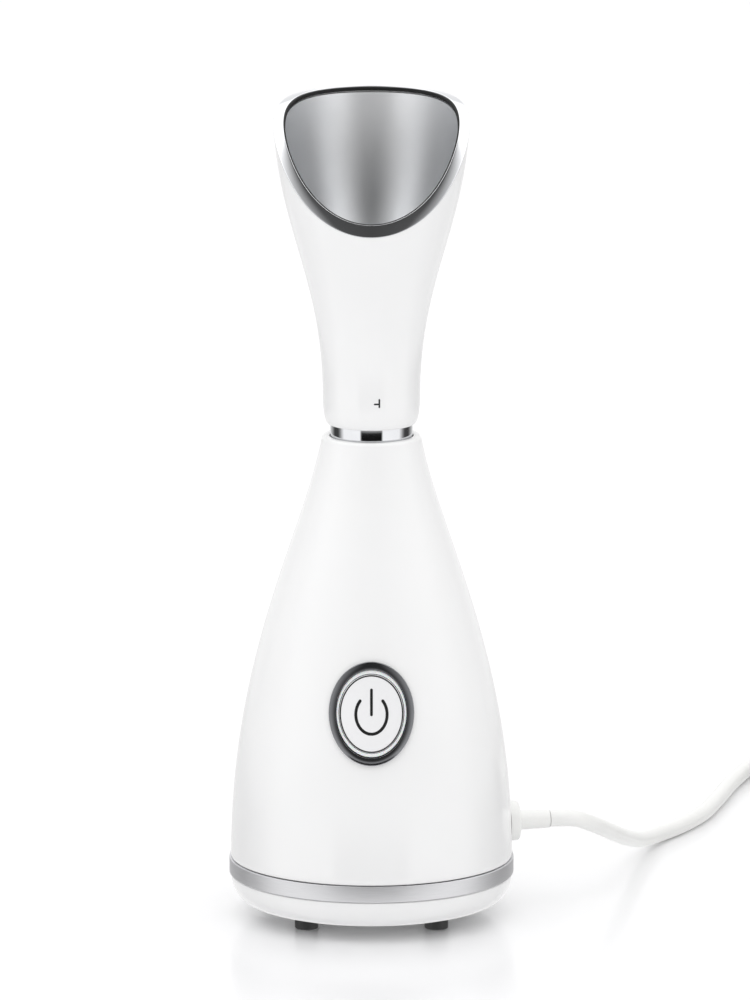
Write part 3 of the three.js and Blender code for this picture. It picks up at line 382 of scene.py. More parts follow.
def in_plug(points):
    """From the plug's own frame, where its lead comes in from +Y, to the table."""
    c, s = math.cos(PLUG_TURN), math.sin(PLUG_TURN)
    turn = np.array([[c, -s, 0], [s, c, 0], [0, 0, 1]])
    return np.asarray(points, float) @ turn.T + PLUG_PLACE


def wound(turns, start_turn, radii, heights):
    """Clockwise turns: the angle falls evenly while radius and height follow two ends."""
    share = np.linspace(0, 1, round(turns * TURN_POINTS) + 1)[1:]
    angle = np.radians(COIL_START - 360 * (start_turn + turns * share))
    ease = share ** 2 * (3 - 2 * share)
    radius = radii[0] + (radii[1] - radii[0]) * share
    height = heights[0] + (heights[1] - heights[0]) * ease
    flat = COIL_CENTRE + radius[:, None] * np.stack([np.cos(angle), np.sin(angle)], -1)
    return np.column_stack([flat, height])


inner_turn = COIL_OUTER - COIL_TURNS * COIL_PITCH
start = np.radians(COIL_START)
entry = [*(COIL_CENTRE + COIL_OUTER * np.array([np.cos(start), np.sin(start)])), LOWER_LAYER]
free_points = np.array([
    gland_tip + 0.3 * GLAND_AXIS, gland_tip + 3 * GLAND_AXIS,
    (75.5, 17.6, 32), (83, 26, 27.8), (90.5, 44, 20.6), (97, 68, 12.8), (102.8, 93, 6.6),
    (110, 114.5, 3.6), (118.5, 130, LOWER_LAYER), (127, 149, LOWER_LAYER),
    (134, 175, LOWER_LAYER), (140.5, 204, LOWER_LAYER), (149.2, 234.5, LOWER_LAYER), entry])
tail = in_plug([(0, PLUG_TOP + PLUG_RELIEF + reach, UPPER_LAYER) for reach in (14, 0.6)])
route = np.concatenate([
    free_points,
    wound(COIL_TURNS, 0, (COIL_OUTER, inner_turn), (LOWER_LAYER, LOWER_LAYER)),
    wound(CLIMB_TURNS, COIL_TURNS, (inner_turn, inner_turn), (LOWER_LAYER, UPPER_LAYER)),
    wound(COIL_TURNS, COIL_TURNS + CLIMB_TURNS, (inner_turn, COIL_OUTER), (UPPER_LAYER, UPPER_LAYER)),
    tail])


def smooth_path(points, step):
    """Catmull-Rom: between two points a cubic whose end slopes are those of the chords
    across their neighbours. The line is then walked in even steps."""
    chord = np.linalg.norm(np.diff(points, axis=0), axis=1)
    at = np.concatenate([[0], np.cumsum(chord)])
    slope = np.gradient(points, at, axis=0)
    fine = np.linspace(0, at[-1], 12 * len(points))
    k = np.clip(np.searchsorted(at, fine, side="right") - 1, 0, len(points) - 2)
    width = (at[k + 1] - at[k])[:, None]
    t = (fine - at[k])[:, None] / width
    line = ((2 * t ** 3 - 3 * t ** 2 + 1) * points[k] + (t ** 3 - 2 * t ** 2 + t) * width * slope[k]
            + (3 * t ** 2 - 2 * t ** 3) * points[k + 1] + (t ** 3 - t ** 2) * width * slope[k + 1])
    walked = np.concatenate([[0], np.cumsum(np.linalg.norm(np.diff(line, axis=0), axis=1))])
    even = np.linspace(0, walked[-1], int(walked[-1] / step) + 1)
    return np.stack([np.interp(even, walked, line[:, axis]) for axis in range(3)], -1)


def tube_skin(path, radius, sides=20):
    """A circle carried along a path: at each point the level side vector and the one
    across it span the circle. The path is never upright, so the two never flip."""
    ahead = np.gradient(path, axis=0)
    side = np.cross(ahead, [0, 0, 1])
    side /= np.linalg.norm(side, axis=1, keepdims=True)
    up = np.cross(side, ahead)
    up /= np.linalg.norm(up, axis=1, keepdims=True)
    angle = np.linspace(0, 2 * np.pi, sides, endpoint=False)[:, None]
    ring = np.cos(angle) * side[:, None] + np.sin(angle) * up[:, None]
    return skin(path[:, None] + np.reshape(radius, (-1, 1, 1)) * ring, poles=(True, True))


lead_path = smooth_path(route, step=2.0)
lead = add_piece("mains_lead", mesh_from("mains_lead", *tube_skin(lead_path, LEAD_RADIUS)),
                 PVC, "base", ["lead_run", "lead_coil", "lead_tail"])

# %% [markdown]
# ## Table and light
# The steamer stands on a white, faintly glossy table in an even white studio. A white
# object on white is drawn by what it reflects, so the room is described twice. To all
# surfaces it gives soft white light, a little stronger from above. To glossy rays it
# shows what a studio holds: a grey front that darkens upwards, a tall white screen on
# each side, a white wall behind, and above them white with a dark wedge in front. A low
# strip round the room holds the things that stand on its floor: the dark gap of the
# lens in front and dark cloth beside the screens. Chrome picks all this up sharply,
# satin chrome and brushed steel blur it, and ABS shows a trace of it.

# %% Table
TABLE_HALF = 3.0
TABLE_TOP = surface("Acrylic_table_white", (60, 2, "#F3F3F4", "#F7F7F8"), (25, 2, 0.16, 0.22), IOR=1.49)
corners = TABLE_HALF * np.array([(-1, -1, 0), (1, -1, 0), (1, 1, 0), (-1, 1, 0)])
table_mesh = bpy.data.meshes.new("table")
table_mesh.from_pydata(corners.tolist(), [], [(0, 1, 2, 3)])
table_mesh.materials.append(TABLE_TOP)
table = bpy.data.objects.new("table", table_mesh)
SCENE.collection.objects.link(table)
table.visible_glossy = False

# %% The room as light and as reflection
# Bands hold degrees away from the front and the brightness seen there in a reflection;
# FRONT_RISE, STRIP and UPPER values are the upright parts of directions.
STRIP_BANDS = [(0, 0.01), (28, 0.01), (33, 1.25), (84, 1.2), (99, 0.3), (107, 0.07), (126, 0.06),
               (150, 0.6), (180, 0.95)]
STRIP_MIDDLE, STRIP_HALF, STRIP_SOFT = -0.196, 0.05, 0.05
WALL_BANDS = [(0, 1.2), (84, 1.3), (100, 0.8), (130, 0.6), (160, 1.0), (180, 1.1)]
FRONT_RISE = [(-1, 1.1), (-0.4, 1.3), (-0.1, 1.0), (0.05, 0.36), (0.15, 0.08), (1, 0.06)]
FRONT_EDGE = (12, 72)
UPPER_BANDS = [(0, 0.08), (10, 0.1), (37, 1.75), (180, 1.75)]
UPPER_FROM, UPPER_FULL = 0.56, 0.68
LIGHT_LEVEL, LIGHT_ABOVE = 1.15, 1.36


def between(tree, value, low, high):
    """0 below low, 1 above high."""
    return add(tree, "ShaderNodeMapRange", {
        "Value": value, "From Min": low, "From Max": high}).outputs[0]


def grey_ramp(tree, place, steps, low, high):
    """Greys at steps between a low and a high value of what feeds it."""
    ramp = add(tree, "ShaderNodeValToRGB", {"Fac": between(tree, place, low, high)})
    stops = ramp.color_ramp.elements
    stops.remove(stops[1])
    stops[0].color = (*[steps[0][1]] * 3, 1)
    for at, grey in steps[1:]:
        stops.new((at - low) / (high - low)).color = (grey, grey, grey, 1)
    return ramp.outputs["Color"]


def blend_colours(tree, factor, first, second):
    """A Mix node for colours; its colour sockets are found by number."""
    mix = add(tree, "ShaderNodeMix", {"Factor": factor, 6: first, 7: second}, data_type="RGBA")
    return mix.outputs[2]


world = bpy.data.worlds.new("studio")
SCENE.world = world
world.use_nodes = True
tree = world.node_tree
tree.nodes.clear()
direction = add(tree, "ShaderNodeTexCoord").outputs["Generated"]
axes = add(tree, "ShaderNodeSeparateXYZ", {"Vector": direction}).outputs
turn = work_out(tree, "ARCTAN2", axes["X"], work_out(tree, "MULTIPLY", axes["Y"], -1.0))
degrees = work_out(tree, "MULTIPLY", work_out(tree, "ABSOLUTE", turn), 180 / math.pi)
off_strip = work_out(tree, "ABSOLUTE", work_out(tree, "SUBTRACT", axes["Z"], STRIP_MIDDLE))
walls = blend_colours(tree, between(tree, degrees, *FRONT_EDGE),
                      grey_ramp(tree, axes["Z"], FRONT_RISE, -1, 1),
                      grey_ramp(tree, degrees, WALL_BANDS, 0, 180))
roofed = blend_colours(tree, between(tree, axes["Z"], UPPER_FROM, UPPER_FULL), walls,
                       grey_ramp(tree, degrees, UPPER_BANDS, 0, 180))
seen = blend_colours(tree, between(tree, off_strip, STRIP_HALF, STRIP_HALF + STRIP_SOFT),
                     grey_ramp(tree, degrees, STRIP_BANDS, 0, 180), roofed)
reflected = add(tree, "ShaderNodeBackground", {"Color": seen, "Strength": 1.0})
above = add(tree, "ShaderNodeMapRange", {
    "Value": axes["Z"], "From Min": 0.0, "To Min": LIGHT_LEVEL, "To Max": LIGHT_ABOVE})
lit = add(tree, "ShaderNodeBackground", {"Strength": above.outputs[0]})
glossy = add(tree, "ShaderNodeLightPath").outputs["Is Glossy Ray"]
mixed = add(tree, "ShaderNodeMixShader", {0: glossy, 1: lit.outputs[0], 2: reflected.outputs[0]})
add(tree, "ShaderNodeOutputWorld", {"Surface": mixed.outputs[0]})
SCENE.view_settings.view_transform = "Standard"

# %% [markdown]
# One large soft lamp above the front gives the white forms a gentle top to bottom
# gradient and sets a soft shadow under the base. Reflections come from the room alone,
# so the lamp stays out of glossy rays.

# %% Lamp
LAMP_SIZE = (1.6, 1.2)
LAMP_WATTS = 6.0
LAMP_PLACE = (-0.3, -0.5, 1.9)
LAMP_LEAN = (14, -9, 0)  # degrees, to aim it at the steamer

lamp_data = bpy.data.lights.new("overhead_softbox", "AREA")
lamp_data.shape = "RECTANGLE"
lamp_data.size, lamp_data.size_y = LAMP_SIZE
lamp_data.energy = LAMP_WATTS
lamp = bpy.data.objects.new("overhead_softbox", lamp_data)
lamp.location = LAMP_PLACE
lamp.rotation_euler = [math.radians(lean) for lean in LAMP_LEAN]
lamp.visible_glossy = False
lamp.visible_camera = False
SCENE.collection.objects.link(lamp)
print("table, room and one lamp")

# %% [markdown]
# ## Gloss ABS
# The base, the nozzle and the bottom cover are injection-moulded ABS from a polished
# tool: white pigment all through, a mirror-like skin, and a faint waviness where the
# melt cooled. To the eye it is a clean white with soft reflections. The colour hardly
# moves, so the life comes from a small change of roughness and a very shallow relief.

# %% White ABS
def gloss_abs(name, dark, light):
    return surface(name, (40, 2, dark, light), (14, 4, 0.12, 0.19), (6, 1, 0.008), IOR=1.54)


ABS = gloss_abs("ABS_gloss_white", "#F1F1F1", "#F6F6F6")

# %% [markdown]
# ## Turned outlines
# A turned piece is its outline swept round the upright axis. Real mouldings have no
# knife edges, so each corner of an outline is cut back by a small distance and bridged
# with a curve that starts along one side and ends along the next.

# %% Rounded outlines and turning
def rounded(corners, steps=4):
    """Outline through (radius, height, cut) corners. A cut corner becomes a quadratic
    curve: (1-t)^2 before, 2t(1-t) corner, t^2 after."""
    points = np.array([corner[:2] for corner in corners], float)
    cuts = [corner[2] if len(corner) > 2 else 0 for corner in corners]
    t = np.linspace(0, 1, steps + 1)[:, None]
    outline = []
    for i, cut in enumerate(cuts):
        corner = points[i]
        if cut == 0:
            outline.append(corner[None])
            continue
        before, after = points[i - 1] - corner, points[(i + 1) % len(points)] - corner
        start = corner + before * (cut / np.linalg.norm(before))
        end = corner + after * (cut / np.linalg.norm(after))
        outline.append((1 - t) ** 2 * start + 2 * t * (1 - t) * corner + t ** 2 * end)
    return np.concatenate(outline)


def turned(outline, columns=160):
    """An outline of (radius, height) points swept round Z: x = r cos a, y = r sin a. An
    outline that starts and ends on the axis is shut with a pole at each end."""
    outline = np.asarray(outline, float)
    solid = outline[0, 0] < 1e-6 and outline[-1, 0] < 1e-6
    if solid:
        outline = outline[1:-1]
    angle = np.linspace(0, 2 * np.pi, columns, endpoint=False)
    radius, height = outline[:, :1], outline[:, 1:]
    grid = np.stack([radius * np.cos(angle), radius * np.sin(angle),
                     height + np.zeros_like(angle)], -1)
    return skin(grid, closed=not solid, poles=(solid, solid))


def rod(radius, low, high, columns=32):
    return turned([(0, low), (radius, low), (radius, high), (0, high)], columns)


def places_round(radius, count, first=0.0):
    """Even places on a level circle, the first one at `first` degrees from +X."""
    turns = np.radians(first + 360 / count * np.arange(count))
    return radius * np.stack([np.cos(turns), np.sin(turns), 0 * turns], -1)


def run(curve_radius, low, high, steps, inset=0.0):
    """Part of a side curve between two heights, moved in by `inset`."""
    z = np.linspace(low, high, steps)
    return np.column_stack([curve_radius(z) - inset, z])


# %% [markdown]
# ## The base shell
# The base is one white moulding, 159 mm tall: wide at the trim ring, slim at the lip
# round the neck. Its wall is 2.2 mm thick all the way, so the outline goes up the
# outside, over the rounded lip, down the neck hole and back down the inside. Two holes
# are cut through it, for the button and for the strain relief, with plain cutting
# solids and a Boolean that is applied at once.

# %% Cutting holes
def cut(mesh, cutter):
    """The mesh with a cutting skin taken out of it, as a new smooth mesh."""
    target = bpy.data.objects.new("target", mesh)
    tool = bpy.data.objects.new("tool", mesh_from("tool", *cutter))
    for part in (target, tool):
        SCENE.collection.objects.link(part)
    step = target.modifiers.new("cut", "BOOLEAN")
    step.operation, step.solver, step.object = "DIFFERENCE", "EXACT", tool
    bpy.context.view_layer.update()
    graph = bpy.context.evaluated_depsgraph_get()
    result = bpy.data.meshes.new_from_object(target.evaluated_get(graph))
    result.name = mesh.name + "_cut"
    tool_mesh = tool.data
    for part in (target, tool):
        bpy.data.objects.remove(part)
    for spare in (mesh, tool_mesh):
        bpy.data.meshes.remove(spare)
    result.polygons.foreach_set("use_smooth", np.ones(len(result.polygons), bool))
    result.set_sharp_from_angle(angle=math.radians(35))
    return result


def oval_points(half_width, half_height, count=128):
    angle = np.linspace(0, 2 * np.pi, count, endpoint=False)
    return np.stack([half_width * np.cos(angle), half_height * np.sin(angle)], -1)


def along_gland(points):
    """Points round Z, laid over so that Z runs outwards through the shell."""
    across = np.array([-GLAND_AXIS[1], GLAND_AXIS[0], 0])
    return points @ np.stack([across, [0, 0, 1], GLAND_AXIS]) + gland_root


# %% Base shell
SHELL_WALL = 2.2
SKIRT_WALL = 1.9
BUTTON_HALF = np.array([11.8, 14.1])
LIGHT_RING_WIDTH = np.array([0.8, 1.25])
LIGHT_RING_HALF = BUTTON_HALF + GAP + LIGHT_RING_WIDTH
BEZEL_INNER = LIGHT_RING_HALF + GAP
BEZEL_WIDTH = np.array([2.5, 2.7])
BEZEL_OUTER = BEZEL_INNER + BEZEL_WIDTH
BEZEL_COLLAR_SHARE = 0.6
BEZEL_COLLAR = BEZEL_INNER + BEZEL_COLLAR_SHARE * BEZEL_WIDTH
BUTTON_Z = (box_mm("button_bezel")[0][2] + box_mm("button_bezel")[1][2]) / 2
GLAND_BODY = 4.7
RING_THICKNESS = 2.4
ring_outside = box_mm("trim_ring")[1][0]
ring_inside = ring_outside - RING_THICKNESS

lip = rounded([(LIP_RADIUS, SHELL_TOP - 2 * LIP_ROUND), (LIP_RADIUS, SHELL_TOP, LIP_ROUND),
               (NECK_HOLE, SHELL_TOP, 0.5), (NECK_HOLE, SHELL_TOP - 1)], steps=8)[1:]
outside = run(shell_radius, SHELL_BOTTOM + 0.4, SHELL_TOP - LIP_ROUND, 90)
inside = run(shell_radius, SHELL_TOP - 2, SHELL_BOTTOM + 3.2, 50, SHELL_WALL)
inside[:, 0] = np.maximum(inside[:, 0], NECK_HOLE)
skirt = ring_inside - GAP  # the shell's foot reaches down behind the trim ring
foot_edge = rounded([
    (skirt - SKIRT_WALL, SHELL_BOTTOM + 1), (skirt - SKIRT_WALL, RING_BOTTOM, 0.3),
    (skirt, RING_BOTTOM, 0.3), (skirt, SHELL_BOTTOM),
    (BASE_RADIUS - 0.4, SHELL_BOTTOM), (BASE_RADIUS - 0.1, SHELL_BOTTOM + 0.1)])
shell_mesh = mesh_from("base_shell_visual", *turned(
    np.concatenate([outside, lip, inside, foot_edge]), columns=224))

hole = BEZEL_COLLAR + GAP
front, middle = -2 * BASE_RADIUS, -BASE_RADIUS / 3
flat = oval_points(*hole)
button_cutter = skin(np.stack([
    np.column_stack([flat[:, 0], np.full(len(flat), y), flat[:, 1] + BUTTON_Z]) for y in (front, middle)]),
    poles=(True, True))
gland_cutter = placed(rod(GLAND_BODY + GAP, -15, 15, 64), along_gland)
shell_mesh = cut(cut(shell_mesh, button_cutter), gland_cutter)
stand_in("base_shell", shell_mesh, ABS, "base")

# %% [markdown]
# ## Brushed trim ring
# A 6 mm steel band is rolled, welded and brushed round and round, then pressed between
# shell and cover. Brushing leaves fine scratches along the band, so a reflection smears
# across it: the room's dark gap and white screens become soft grey blocks. The
# scratches are 0.1 mm wide on the real band. Drawn at 0.3 mm they still read as
# brushing from arm's length. They come from noise that is stretched round the axis: its
# first coordinate is the angle, its last one the height.

# %% Brushed steel
STROKE_STRETCH = 0.002  # metres of pattern for each radian round the ring


def brushed_steel():
    material, tree, shader = finish("Steel_brushed", Metallic=1.0)
    position = add(tree, "ShaderNodeTexCoord").outputs["Object"]
    part = add(tree, "ShaderNodeSeparateXYZ", {"Vector": position}).outputs
    arc = work_out(tree, "MULTIPLY", work_out(tree, "ARCTAN2", part["Y"], part["X"]), STROKE_STRETCH)
    strokes = add(tree, "ShaderNodeCombineXYZ", {"X": arc, "Z": part["Z"]}).outputs[0]
    scratch = noise(tree, 0.3, detail=3.0, vector=strokes)
    tint(tree, shader, scratch, "#CDCDCF", "#E0E0E2")
    vary(tree, shader, "Roughness", scratch, 0.38, 0.5)
    bump(tree, shader, scratch, 0.004)
    return material


STEEL_BRUSHED = brushed_steel()
ring_outline = rounded([
    (ring_inside, RING_BOTTOM, 0.2), (ring_outside, RING_BOTTOM, 0.35),
    (ring_outside, RING_TOP, 0.35), (ring_inside, RING_TOP, 0.2)])
stand_in("trim_ring", turned(ring_outline, 224), STEEL_BRUSHED, "base")

# %% [markdown]
# ## Bottom cover, feet and screws
# The cover is a shallow white tray whose edge rolls under to a flat bottom. Four rubber
# feet push into it and keep it 5 mm off the table, and four screws in deep wells hold it
# to the posts of the shell. The round edge is one quadratic curve, as on the real
# moulding, so the light fades under the base without a line.

# %% Bottom cover
cover_low, cover_high = box_mm("bottom_cover")
COVER_BOTTOM, COVER_TOP = cover_low[2], cover_high[2]
COVER_WALL = 2.2
COVER_FLAT = BASE_RADIUS - 8.8
t = np.linspace(0, 1, 24)[:, None]
edge_start, edge_pull, edge_end = (np.array(point) for point in (
    (COVER_FLAT, COVER_BOTTOM), (BASE_RADIUS - 0.8, COVER_BOTTOM + 0.8),
    (BASE_RADIUS - 0.1, COVER_TOP - 0.3)))
edge = (1 - t) ** 2 * edge_start + 2 * t * (1 - t) * edge_pull + t ** 2 * edge_end
cover_outline = np.concatenate([
    [(0, COVER_BOTTOM), (COVER_FLAT - 6, COVER_BOTTOM)], edge,
    [(BASE_RADIUS - 0.4, COVER_TOP), (BASE_RADIUS - COVER_WALL, COVER_TOP),
     (BASE_RADIUS - COVER_WALL - 2, COVER_BOTTOM + 5), (COVER_FLAT - 2, COVER_BOTTOM + COVER_WALL),
     (0, COVER_BOTTOM + COVER_WALL)]])
SCREW_CIRCLE = BASE_RADIUS - 13.3
SCREW_HEAD = 2.8
SCREW_TURN = -15.0
well = rod(SCREW_HEAD + GAP, COVER_BOTTOM - 4, COVER_BOTTOM + 1)
screw_places = places_round(SCREW_CIRCLE, 4, first=SCREW_TURN)


def moved(skin_parts, offset):
    return placed(skin_parts, lambda points: points + offset)


wells = joined(*(moved(well, place) for place in screw_places))
cover_mesh = cut(mesh_from("bottom_cover_visual", *turned(cover_outline, 192)), wells)
stand_in("bottom_cover", cover_mesh, ABS, "base")

# %% [markdown]
# The feet are black rubber pegs. Rubber is matt, with a dusty bloom that makes it dark
# grey and not black, and its moulded rim is softly rounded.

# %% Rubber feet
RUBBER = surface("Rubber_black", (2, 4, "#111111", "#1E1E1E"), (1.5, 2, 0.45, 0.6), (0.4, 4, 0.03), IOR=1.52)
FOOT_RADIUS, FOOT_STEM, FOOT_BARB, FOOT_TIP = 4.4, 2.2, 3.1, 1.3
cover_inside = COVER_BOTTOM + COVER_WALL
foot_outline = rounded([
    (0, 0), (FOOT_RADIUS, 0, 0.7), (FOOT_RADIUS, COVER_BOTTOM - GAP, 0.4),
    (FOOT_STEM, COVER_BOTTOM - GAP), (FOOT_STEM, cover_inside + GAP), (FOOT_BARB, cover_inside + GAP, 0.2),
    (FOOT_TIP, cover_inside + 2.1, 0.3), (0, cover_inside + 2.1)])
for foot in ("foot_rear_right", "foot_rear_left", "foot_front_left", "foot_front_right"):
    low, high = box_mm(foot)
    place = np.array([(low[0] + high[0]) / 2, (low[1] + high[1]) / 2, 0])
    stand_in(foot, moved(turned(foot_outline, 48), place), RUBBER, "base")

# %% [markdown]
# ## Polished chrome
# The neck, the mouth's rim and the button's bezel are bright chrome plate: a mirror with
# a slightly cool tint. It has no colour of its own and shows the room, so its looks are
# mostly shape. Handling leaves faint patches where the gloss is a little lower.

# %% Chrome plate
CHROME = surface("Chrome_plate_polished", (12, 2, "#D2D3D6", "#E2E3E5"), (5, 4, 0.03, 0.08), Metallic=1.0)
COLLAR_WALL = 2.3
collar_low, collar_high = box_mm("neck_collar")
collar_bore = NECK_RADIUS - COLLAR_WALL
collar_outline = rounded([
    (collar_bore, collar_low[2], 0.2), (NECK_RADIUS, collar_low[2], 0.3),
    (NECK_RADIUS, collar_high[2], 0.5), (collar_bore, collar_high[2], 0.3)])
stand_in("neck_collar", turned(collar_outline, 128), CHROME, "neck")

# %% [markdown]
# ## The scoop of the mouth
# The nozzle's top is cut by one smooth sweep: steep at the front lip, level at the back.
# Seen from the side, the cut is a curve. A point of the nozzle's wall belongs to the
# edge where its height equals the curve's height at its own depth. The wall leans out
# as it rises, so both sides of that equation move, and the height is found by halving
# an interval for the whole grid at once.

# %% The mouth's edge
LIP_DROP = 46.0
MOUTH_CURVE = bezier([
    (-0.832 * MOUTH_RADIUS, NOZZLE_TOP - LIP_DROP),
    (-0.248 * MOUTH_RADIUS, NOZZLE_TOP - 0.43 * LIP_DROP),
    (-0.099 * MOUTH_RADIUS, NOZZLE_TOP + 0.024 * LIP_DROP),
    (1.03 * MOUTH_RADIUS, NOZZLE_TOP)])
LIP_SLOPE = (MOUTH_CURVE[1, 1] - MOUTH_CURVE[0, 1]) / (MOUTH_CURVE[1, 0] - MOUTH_CURVE[0, 0])


def mouth_height(y):
    """The side curve's height at depth y, carried on straight below the front lip."""
    below = MOUTH_CURVE[0, 1] + LIP_SLOPE * (y - MOUTH_CURVE[0, 0])
    return np.where(y < MOUTH_CURVE[0, 0], below, np.interp(y, MOUTH_CURVE[:, 0], MOUTH_CURVE[:, 1]))


def edge_height(inset, drop, angle):
    """Height where the wall `inset` inside the nozzle meets the edge lowered by `drop`,
    at angles from +X. All three are arrays of one shape or numbers."""
    inset, drop, angle = np.broadcast_arrays(inset, drop, angle)
    low = np.full(angle.shape, NOZZLE_TOP - 2 * LIP_DROP)
    high = np.full(angle.shape, NOZZLE_TOP + 1.0)
    for _ in range(36):
        z = (low + high) / 2
        under = z + drop < mouth_height((nozzle_radius(z) - inset) * np.sin(angle))
        low, high = np.where(under, z, low), np.where(under, high, z)
    return low


def round_nozzle(inset, height, angle):
    """Points on the wall: x = (r(z) - inset) cos a, y = (r(z) - inset) sin a, z."""
    radius = nozzle_radius(height) - inset
    return np.stack([radius * np.cos(angle), radius * np.sin(angle), height], -1)


NOZZLE_COLUMNS = 256
around = np.linspace(0, 2 * np.pi, NOZZLE_COLUMNS, endpoint=False)

# %% [markdown]
# ## The nozzle's shell
# The shell starts with a rounded bottom edge, a quarter of an ellipse, and swells to
# the mouth. Rows of the grid divide the way from waist to edge evenly for each column,
# so they fan out towards the low front lip and the high back without any cut.

# %% Nozzle shell
NOZZLE_WALL = 2.0
RIM_FACE = 0.9


def quarter(inner, outer, low, high, steps):
    """Quarter of an ellipse from (inner, low), level, to (outer, high), upright."""
    turn = np.linspace(0, np.pi / 2, steps)[:, None]
    return np.hstack([inner + (outer - inner) * np.sin(turn), low + (high - low) * (1 - np.cos(turn))])


def upright_grid(outline):
    """An outline of (radius, height) points turned round the shared columns."""
    r, z = outline[:, :1], outline[:, 1:]
    return np.stack([r * np.cos(around), r * np.sin(around), z + 0 * around], -1)


def wall_grid(inset, drop, bottom, steps):
    """Rows from a level bottom to the mouth's edge, `steps` of them."""
    top = edge_height(inset, drop, around)
    share = np.linspace(0, 1, steps)[:, None]
    height = bottom + (top - bottom) * share
    return round_nozzle(inset, height, around)


outer_edge = quarter(NECK_HOLE + 0.3, WAIST_RADIUS, NOZZLE_BOTTOM, WAIST_TOP, 20)[:-1]
inner_edge = quarter(NECK_HOLE, WAIST_RADIUS - NOZZLE_WALL, NOZZLE_BOTTOM + 1.4, WAIST_TOP, 12)[:-1]
sill = rounded([(NECK_HOLE, NOZZLE_BOTTOM + 1), (NECK_HOLE, NOZZLE_BOTTOM, 0.3),
                (NECK_HOLE + 0.3, NOZZLE_BOTTOM)])[:-1]
nozzle_grid = np.concatenate([
    upright_grid(sill), upright_grid(outer_edge),
    wall_grid(0, RIM_FACE + GAP, WAIST_TOP, 90),
    wall_grid(NOZZLE_WALL, RIM_FACE + GAP, WAIST_TOP, 60)[::-1],
    upright_grid(inner_edge[::-1])])
stand_in("nozzle_shell", skin(nozzle_grid, closed=True), ABS, "nozzle")

# %% [markdown]
# ## Rim and bowl
# A chrome rim caps the wall: its face follows the cut, 3.7 mm wide, leans outwards and is
# very slightly crowned, so that bright and dark run along it. Its outline is drawn in two
# numbers, how far in from the outside and how far below the edge, and carried round the
# mouth. Behind it the bowl drops away, and the shade of the slit between the two is painted as a black line.

# %% Mouth rim
RIM_WIDTH = 3.7
RIM_FALL = 0.6  # the face leans outwards by this much over its width
RIM_DEPTH, RIM_STEP = 1.8, 2.3  # its inner skirt, and where that starts


def carried_round(section, columns=around):
    """A section of (inset, drop) points carried round the mouth."""
    inset, drop = section[:, :1], section[:, 1:]
    return round_nozzle(inset, edge_height(inset, drop, columns[None]), columns[None])


rim_section = rounded([
    (-0.1, RIM_FACE), (-0.1, RIM_FALL, 0.2), (0.45 * RIM_WIDTH, 0.38 * RIM_FALL, 1.2), (RIM_WIDTH, 0, 0.3),
    (RIM_WIDTH, RIM_DEPTH), (RIM_STEP, RIM_DEPTH), (RIM_STEP, RIM_FACE)], steps=6)
stand_in("nozzle_rim", skin(carried_round(rim_section), closed=True), CHROME, "nozzle")

# %% [markdown]
# Between rim and bowl, the shadow deep in the slit is painted: a thin black band stands in
# for it and shows as the fine black line inside the rim.

# %% Painted shade line inside the rim
# Painted shade: a thin black band that stands in for the shadow in the slit between rim and bowl.
PAINTED_SHADE_BLACK = surface("Painted_shade_black", (2, 2, "#050505", "#0B0B0B"), (1, 2, 0.5, 0.65), IOR=1.43)
SHADE_LINE_START, SHADE_LINE_END, SHADE_LINE_DEPTH = RIM_WIDTH + 0.05, RIM_WIDTH + 0.55, 1.7
shade_line_section = rounded([(SHADE_LINE_START, 0.35, 0.1), (SHADE_LINE_END, 0.4, 0.1), (SHADE_LINE_END, SHADE_LINE_DEPTH),
                        (SHADE_LINE_START, SHADE_LINE_DEPTH)])
add_piece("mouth_seal", mesh_from("mouth_seal", *skin(carried_round(shade_line_section), closed=True)),
          PAINTED_SHADE_BLACK, "nozzle")

# %% [markdown]
# The bowl is plated too, but its tool was blasted before polishing, so the chrome on it
# is satin: it spreads the white screens into broad patches and turns grey between them.

# %% Satin chrome bowl
SATIN_CHROME = surface("Chrome_plate_satin", (14, 2, "#E9EAEC", "#F0F1F2"), (0.8, 4, 0.32, 0.4),
                       (0.5, 3, 0.004), Metallic=1.0)
BOWL_INSET = RIM_WIDTH + 0.2
BOWL_WALL = 1.2
BOWL_EDGE = 2.4
BOWL_FLOOR = box_mm("nozzle_bowl")[0][2] + BOWL_WALL
DISH_TOP = BOWL_FLOOR + 13
BOWL_HOLE = 7.9
dish_radius = nozzle_radius(DISH_TOP) - BOWL_INSET


def dish(wall):
    return upright_grid(quarter(BOWL_HOLE, dish_radius + wall, BOWL_FLOOR - wall, DISH_TOP, 24)[:-1])


bowl_grid = np.concatenate([
    dish(BOWL_WALL), wall_grid(BOWL_INSET - BOWL_WALL, BOWL_EDGE, DISH_TOP, 50),
    wall_grid(BOWL_INSET, BOWL_EDGE, DISH_TOP, 60)[::-1], dish(0)[::-1]])
stand_in("nozzle_bowl", skin(bowl_grid, closed=True), SATIN_CHROME, "nozzle")

# %% [markdown]
# ## The power button
# The button is a set of upright ovals on the curved front of the base: a black chrome
# bezel, a milky light ring, and a white cap. Each is a ring of one section that follows
# the shell. A point is given by an oval and by how far it stands off the shell's skin,
# and its depth follows from the shell's radius at that height.

# %% Rings on the curved front
oval_turn = np.linspace(0, 2 * np.pi, 192, endpoint=False)


def on_front(half, lift):
    """Points of ovals on the shell: x = w cos a, z = h sin a, and
    y = -sqrt((shell radius at z + lift)^2 - x^2)."""
    x = half[..., 0:1] * np.cos(oval_turn)
    z = BUTTON_Z + half[..., 1:2] * np.sin(oval_turn)
    y = -np.sqrt((shell_radius(z) + lift[..., None]) ** 2 - x ** 2)
    return np.stack([x, y, z], -1)


def front_ring(inner, outer, section):
    """A section of (share across, lift) points carried round between two ovals."""
    share, lift = section[:, :1], section[:, 1]
    return skin(on_front(inner + (outer - inner) * share, lift), closed=True)


